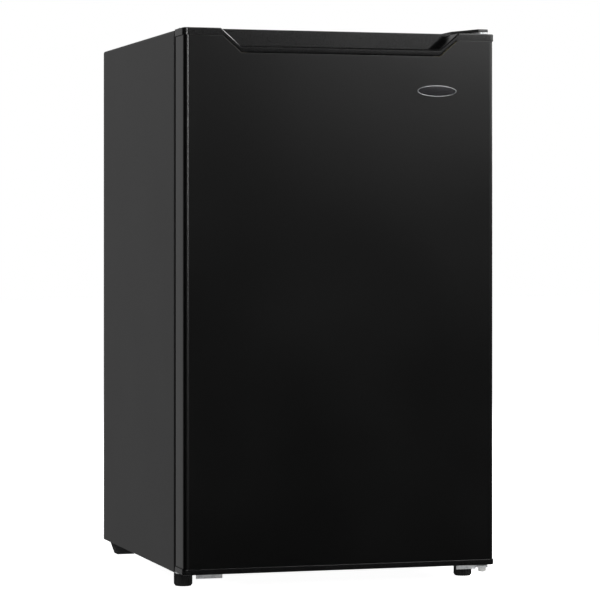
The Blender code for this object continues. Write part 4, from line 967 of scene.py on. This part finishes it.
@dataclass
class ClearTray:
    """An open tray of clear plastic with a fluted wall, a tapered foot and a turned-out rim."""

    name: str
    node: str
    body: str
    wall: float = 0.0021
    corner: float = 0.012
    corner_steps: int = 6
    least_corner: float = 0.002
    taper: float = 0.0030
    rim: float = 0.0030
    rim_height: float = 0.0036
    flute: float = 0.0009
    flute_ease: float = 0.0022
    flute_steps: int = 8
    pitch: float = 0.0125
    flute_low: float = 0.16
    flute_high: float = 0.72
    grip: float = 0.0
    grip_half: float = 0.085
    grip_roundness: float = 0.35
    low: Vector = field(init=False)
    high: Vector = field(init=False)

    def build(self) -> None:
        """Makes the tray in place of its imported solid."""
        self.low, self.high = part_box(self.node)
        self.low.y += self.grip
        bottom, top = self.low.z, self.high.z
        height, under = top - bottom, top - self.rim_height
        wall, rim, ease = self.wall, self.rim, self.flute_ease
        foot = rim + self.taper
        start, end = bottom + self.flute_low * height, bottom + self.flute_high * height
        shape = Shape()
        shape.loft([
            # the foot's rounded outer edge
            self._ring(foot + 0.0034, bottom),
            self._ring(foot + 0.0010, bottom + 0.0007),
            self._ring(foot, bottom + 0.0028),
            # the fluted wall
            self._ring(self._lean(start - ease), start - ease),
            self._ring(self._lean(start), start, self.flute),
            self._ring(self._lean(end), end, self.flute),
            self._ring(self._lean(end + ease), end + ease),
            # the rim, out, up and over
            self._ring(rim, under),
            self._ring(0.0006, under + 0.0002, grip=self.grip),
            self._ring(0.0, under + 0.0010, grip=self.grip),
            self._ring(0.0, top - 0.0010, grip=self.grip),
            self._ring(0.0008, top, grip=self.grip),
            self._ring(rim + wall - 0.0005, top),
            self._ring(rim + wall, top - 0.0006),
            # the plain inside, down to the floor
            self._ring(self._lean(bottom + 0.004) + wall, bottom + 0.006),
            self._ring(foot + wall + 0.0012, bottom + wall + 0.0012),
            self._ring(foot + wall + 0.0045, bottom + wall),
        ])
        soften(shape.piece(self.name, TRAY_PLASTIC, self.body, "clear_plastic", (self.node,)), 0.0)

    def _lean(self, z: float) -> float:
        """How far in the outside of the wall stands.

        Args:
            z: the height.

        Returns:
            The distance in from the tray's box.
        """
        under = self.high.z - self.rim_height
        return self.rim + self.taper * (under - z) / (under - self.low.z)

    def _ring(self, inset: float, z: float, flute: float = 0.0, grip: float = 0.0) -> list[Point]:
        """A rounded rectangle at a height, with waves on its straight sides.

        Args:
            inset: how far in from the tray's box.
            z: its height.
            flute: how deep the waves are.
            grip: how far the front's middle reaches out.

        Returns:
            The points.
        """
        centre, half = (self.low + self.high) / 2, (self.high - self.low) / 2
        radius = max(self.corner - inset, self.least_corner)
        near_x, near_y = half.x - inset - radius, half.y - inset - radius
        points = []
        for quarter, (sx, sy) in enumerate(((1, 1), (-1, 1), (-1, -1), (1, -1))):
            for step in range(self.corner_steps + 1):
                turn = radians(90.0 * quarter + 90.0 / self.corner_steps * step)
                points.append((sx * near_x + radius * cos(turn), sy * near_y + radius * sin(turn)))
            along_x = quarter % 2 == 0
            start = points[-1]
            end = (-sx * near_x, start[1]) if along_x else (start[0], -sy * near_y)
            out_x, out_y = (0, sy) if along_x else (sx, 0)
            run = 2 * (half.x if along_x else half.y) - 2 * self.corner
            waves = max(int(run / self.pitch), 1)
            samples = self.flute_steps * waves
            for sample in range(1, samples):
                t = sample / samples
                push = flute * 0.5 * (1 - cos(2 * pi * waves * t))
                x, y = start[0] + (end[0] - start[0]) * t, start[1] + (end[1] - start[1]) * t
                if grip and out_y < 0 and abs(x) < self.grip_half:
                    push += grip * (0.5 + 0.5 * cos(pi * x / self.grip_half)) ** self.grip_roundness
                points.append((x + out_x * push, y + out_y * push))
        return [(centre.x + x, centre.y + y, z) for x, y in points]


@dataclass
class Shelves:
    """The glass shelves and the glass cover over the crisper, with their white trims."""

    names: tuple[str, ...] = ("upper_shelf", "middle_shelf", "crisper_cover")
    glass_edge: float = 0.0006
    trim_edge: float = 0.0007

    def build(self) -> None:
        """Dresses the panes and the trims."""
        for name in self.names:
            dress(f"{name}_glass", SHELF_PANE, self.glass_edge)
            dress(f"{name}_trim", TRIM_PLASTIC, self.trim_edge)


@dataclass
class Thermostat:
    """The housing on the right wall, its knob and the dial printed round it."""

    marks: int = 7
    sweep: float = 270.0
    tick_start: float = 0.0185
    tick_length: float = 0.0030
    tick_width: float = 0.0007
    number_at: float = 0.0252
    number_size: float = 0.0052
    rise: float = 0.0002
    pointer_inset: float = 0.0034
    pointer_length: float = 0.0050
    pointer_half: float = 0.0007
    pointer_depth: float = 0.0006
    edge: float = 0.0008

    def build(self) -> None:
        """Dresses the solids and prints the dial."""
        dress("thermostat_housing", TRIM_PLASTIC, self.edge)
        dress("thermostat_knob", TRIM_PLASTIC, self.edge)
        dress("thermostat_switch", ZINC_PLATE)
        low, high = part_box("thermostat_housing")
        knob_low, knob_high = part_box("thermostat_knob")
        middle = Vector((low.x, (knob_low.y + knob_high.y) / 2, (low.z + high.z) / 2))
        dial = Shape()
        for mark in range(self.marks):
            turn = radians(self.sweep * mark / (self.marks - 1))
            spin = Matrix.Translation(middle) @ Matrix.Rotation(turn, 4, (-1, 0, 0))
            dial.block(
                (-self.rise, -self.tick_width / 2, self.tick_start),
                (self.rise, self.tick_width / 2, self.tick_start + self.tick_length), spin,
            )
            place = middle + Vector((0, sin(turn), cos(turn))) * self.number_at
            self._number(dial, str(mark), place)
        dial.piece("thermostat_dial", DIAL_PRINT, "cabinet", "white_plastic")
        pointer = Shape()
        top = Vector((knob_low.x, middle.y, knob_high.z - self.pointer_inset))
        pointer.block(
            top - Vector((self.rise, self.pointer_half, self.pointer_length)),
            top + Vector((self.pointer_depth, self.pointer_half, 0.0)),
        )
        pointer.piece("thermostat_pointer", DIAL_PRINT, "thermostat_knob", "white_plastic")

    def _number(self, dial: Shape, text: str, place: Vector) -> None:
        """Adds one raised number, upright and facing into the cabin.

        Args:
            dial: the shape that it joins.
            text: the number.
            place: its middle.
        """
        curve = bpy.data.curves.new("dial_number", "FONT")
        curve.body, curve.size, curve.extrude = text, self.number_size, self.rise
        curve.align_x, curve.align_y = "CENTER", "CENTER"
        maker = bpy.data.objects.new("dial_number", curve)
        bpy.context.scene.collection.objects.link(maker)
        bpy.context.view_layer.update()
        graph = bpy.context.evaluated_depsgraph_get()
        mesh = bpy.data.meshes.new_from_object(maker.evaluated_get(graph))
        upright = Matrix(((0, 0, -1), (-1, 0, 0), (0, 1, 0))).to_4x4()
        mesh.transform(Matrix.Translation(place) @ upright)
        dial.bm.from_mesh(mesh)
        bpy.data.objects.remove(maker)
        bpy.data.meshes.remove(mesh)


@dataclass
class Hinges:
    """The hinge plates, their pins, bushes and screws, and the cover on top."""

    plate_edge: float = 0.0004
    cover_edge: float = 0.0009

    def build(self) -> None:
        """Dresses the solids."""
        for name in ("top_hinge_bracket", "bottom_hinge_bracket", "front_left_bracket"):
            dress(name, ZINC_SHEET, self.plate_edge)
        for name in ("top_hinge_pin", "bottom_hinge_pin", "bottom_hinge_nut"):
            dress(name, ZINC_PLATE, self.plate_edge)
        for name in ("top_hinge_screw_front", "top_hinge_screw_rear"):
            dress(name, ZINC_PLATE, self.plate_edge)
        for name in ("top_hinge_bush", "bottom_hinge_bush"):
            dress(name, TRIM_PLASTIC)
        dress("top_hinge_cover", COVER_PLASTIC, self.cover_edge)


@dataclass
class Feet:
    """Two levelling feet in front and two fixed ones behind."""

    edge: float = 0.0006

    def build(self) -> None:
        """Dresses the solids."""
        for name in ("front_left_foot", "front_right_foot", "rear_left_foot", "rear_right_foot"):
            dress(name, FOOT_RUBBER, self.edge)


@dataclass
class CompressorBay:
    """The compressor on its plate, with the relay, drier, tray and tubes round it."""

    edge: float = 0.0006
    stub_radius: float = 0.0028
    stub_steps: int = 16
    stub_start: tuple[float, float, float] = (0.030, 0.012, 0.40)
    stub_path: tuple[tuple[float, float, float, float], ...] = (
        (0.0, 0.0, 0.0, 1.0), (0.006, 0.001, 0.25, 1.0), (0.010, 0.004, 0.6, 1.0),
        (0.012, 0.010, 0.95, 1.0), (0.012, 0.026, 1.0, 1.0), (0.012, 0.040, 1.0, 0.35),
    )

    def build(self) -> None:
        """Dresses the solids and adds the pinched filling tube."""
        dress("compressor_mount_plate", ZINC_SHEET, self.edge)
        dress("compressor", SHELL_ENAMEL, self.edge)
        for place in ("front_left", "front_right", "rear_left", "rear_right"):
            dress(f"compressor_grommet_{place}", FOOT_RUBBER, self.edge)
        dress("relay_cover", SERVICE_PLASTIC, self.edge)
        dress("drip_tray", SERVICE_PLASTIC, self.edge)
        dress("cord_gland", FOOT_RUBBER)
        for name in ("suction_tube", "discharge_tube", "filter_drier"):
            dress(name, COPPER_PIPE)
        self._filling_tube()

    def _filling_tube(self) -> None:
        """A short copper stub, bent up and pinched flat at its end.

        Its path gives how far out and up each point lies, how far the tube is turned from level
        to upright there, and how much of its roundness it keeps.
        """
        low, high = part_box("compressor")
        right, inward, share = self.stub_start
        start = Vector((low.x + right, high.y - inward, low.z + (high.z - low.z) * share))
        turns = [2 * pi * step / self.stub_steps for step in range(self.stub_steps)]
        rows = []
        for out, up, bend, round_share in self.stub_path:
            tilt = bend * pi / 2
            wide, thick = self.stub_radius * (2 - round_share), self.stub_radius * round_share
            row = []
            for turn in turns:
                across, along = wide * cos(turn), thick * sin(turn)
                row.append(start + Vector((across, out - along * sin(tilt), up + along * cos(tilt))))
            rows.append(row)
        shape = Shape()
        shape.loft(rows)
        soften(shape.piece("filling_tube", COPPER_PIPE, "cabinet", "copper"), 0.0)


# Studio


@dataclass
class Softbox:
    """A rectangular area light aimed at a point."""

    name: str
    place: tuple[float, float, float]
    aim: tuple[float, float, float]
    width: float
    height: float
    power: float

    def build(self) -> None:
        """Makes the light."""
        lamp = bpy.data.lights.new(self.name, "AREA")
        lamp.shape = "RECTANGLE"
        lamp.size, lamp.size_y = self.width, self.height
        lamp.energy = self.power
        obj = bpy.data.objects.new(self.name, lamp)
        obj.location = self.place
        obj.rotation_euler = (Vector(self.aim) - Vector(self.place)).to_track_quat("-Z", "Y").to_euler()
        obj.visible_camera = False
        bpy.context.scene.collection.objects.link(obj)


@dataclass
class Studio:
    """The pale floor, the surroundings, the lights and the camera."""

    floor_reach: float = 40.0
    floor_dull: Colour = (0.80, 0.80, 0.80)
    floor_pale: Colour = (0.82, 0.82, 0.82)
    glow: float = 0.97
    surround: float = 0.29
    surround_front: float = 0.4
    surround_back: float = 0.95
    surround_rise: float = 0.06
    surround_horizon: tuple[float, float] = (-0.1, 0.25)
    camera_place: tuple[float, float, float] = (-1.231, -4.143, 0.513)
    camera_yaw: float = radians(16.75)
    lens: float = 163.44
    sensor: float = 36.0
    rise: float = -0.095
    softboxes: list[Softbox] = field(default_factory=lambda: [
        Softbox("front_right_box", (1.75, -2.51, 2.95), (1.75, 0.0, 2.95), 2.08, 3.42, 135.0),
        Softbox("front_left_box", (-1.5, -3.0, 1.45), (-0.2, -0.27, 0.8), 0.4, 1.5, 40.0),
        Softbox("right_box", (3.2, -1.2, 2.5), (0.2, -0.27, 2.5), 1.8, 3.0, 60.0),
        Softbox("rear_left_box", (-1.9, 2.3, 1.9), (-0.2, 0.0, 0.8), 0.5, 2.2, 1.8),
        Softbox("rear_right_box", (2.6, 2.4, 1.9), (0.2, 0.2, 0.5), 2.4, 2.4, 60.0),
    ])

    def build(self) -> None:
        """Sets up everything that isn't part of the refrigerator."""
        bpy.context.scene.view_settings.view_transform = "Standard"
        self._surroundings()
        self._floor()
        for softbox in self.softboxes:
            softbox.build()
        self._camera()

    def _surroundings(self) -> None:
        """A world that the camera sees white, and that lights the object from behind."""
        world = bpy.data.worlds.new("studio_surround")
        sheet = ShaderSheet(world)
        direction = sheet.add("ShaderNodeSeparateXYZ", None, {0: sheet.coordinates.outputs["Generated"]})
        backdrop = Value(sheet, direction.outputs["Y"]).step(self.surround_front, self.surround_back)
        higher = Value(sheet, direction.outputs["Z"]).step(*self.surround_horizon)
        strength = backdrop * (self.surround + higher * self.surround_rise)
        white = (1.0, 1.0, 1.0, 1.0)
        seen = sheet.add("ShaderNodeBackground", None, {"Color": white})
        lit = sheet.add("ShaderNodeBackground", None, {"Color": white, "Strength": strength})
        camera = sheet.add("ShaderNodeLightPath").outputs["Is Camera Ray"]
        mixed = sheet.add("ShaderNodeMixShader", None, {0: camera, 1: lit.outputs[0], 2: seen.outputs[0]})
        sheet.add("ShaderNodeOutputWorld", None, {"Surface": mixed.outputs[0]})
        bpy.context.scene.world = world

    def _floor(self) -> None:
        """A plain pale floor, bright enough to run into the backdrop."""
        shape = Shape()
        bmesh.ops.create_grid(shape.bm, x_segments=8, y_segments=8, size=self.floor_reach / 2)
        mesh = bpy.data.meshes.new("studio_floor")
        shape.bm.to_mesh(mesh)
        shape.bm.free()
        floor = bpy.data.objects.new("studio_floor", mesh)
        bpy.context.scene.collection.objects.link(floor)
        sheet = ShaderSheet(bpy.data.materials.new("studio_floor_paint"))
        mesh.materials.append(sheet.principled(
            Base_Color=sheet.blend(sheet.noise(scale=3.0), self.floor_dull, self.floor_pale),
            Roughness=1.0,
            Specular_IOR_Level=0.0,
            Emission_Color=(1.0, 1.0, 1.0, 1.0),
            Emission_Strength=self.glow,
        ))
        floor.visible_glossy = False

    def _camera(self) -> None:
        """A level camera in front of the refrigerator and to its left."""
        data = bpy.data.cameras.new("studio_camera")
        data.lens, data.sensor_width, data.shift_y = self.lens, self.sensor, self.rise
        camera = bpy.data.objects.new("studio_camera", data)
        camera.location = self.camera_place
        camera.rotation_euler = (radians(90.0), 0.0, -self.camera_yaw)
        bpy.context.scene.collection.objects.link(camera)
        bpy.context.scene.camera = camera


def main() -> None:
    """Builds the refrigerator's looks, then the studio round it."""
    logging.basicConfig(level=logging.INFO, format="%(message)s")
    racks = [
        ClearTray(f"{place}_rack_tray", f"{place}_door_rack", "door")
        for place in ("lower", "middle", "upper")
    ]
    drawer = ClearTray(
        "crisper_tray", "crisper_drawer", "crisper_drawer", corner=0.016, taper=0.004, pitch=0.020,
        flute=0.0012, flute_high=0.62, grip=0.010,
    )
    for part in (
        Cabinet(), BackScrews(), Door(), Badge(), Gasket(), *racks, drawer, Shelves(), Thermostat(),
        Hinges(), Feet(), CompressorBay(), Studio(),
    ):
        part.build()
        LOG.info("%s finished", type(part).__name__)


if __name__ == "__main__":
    main()
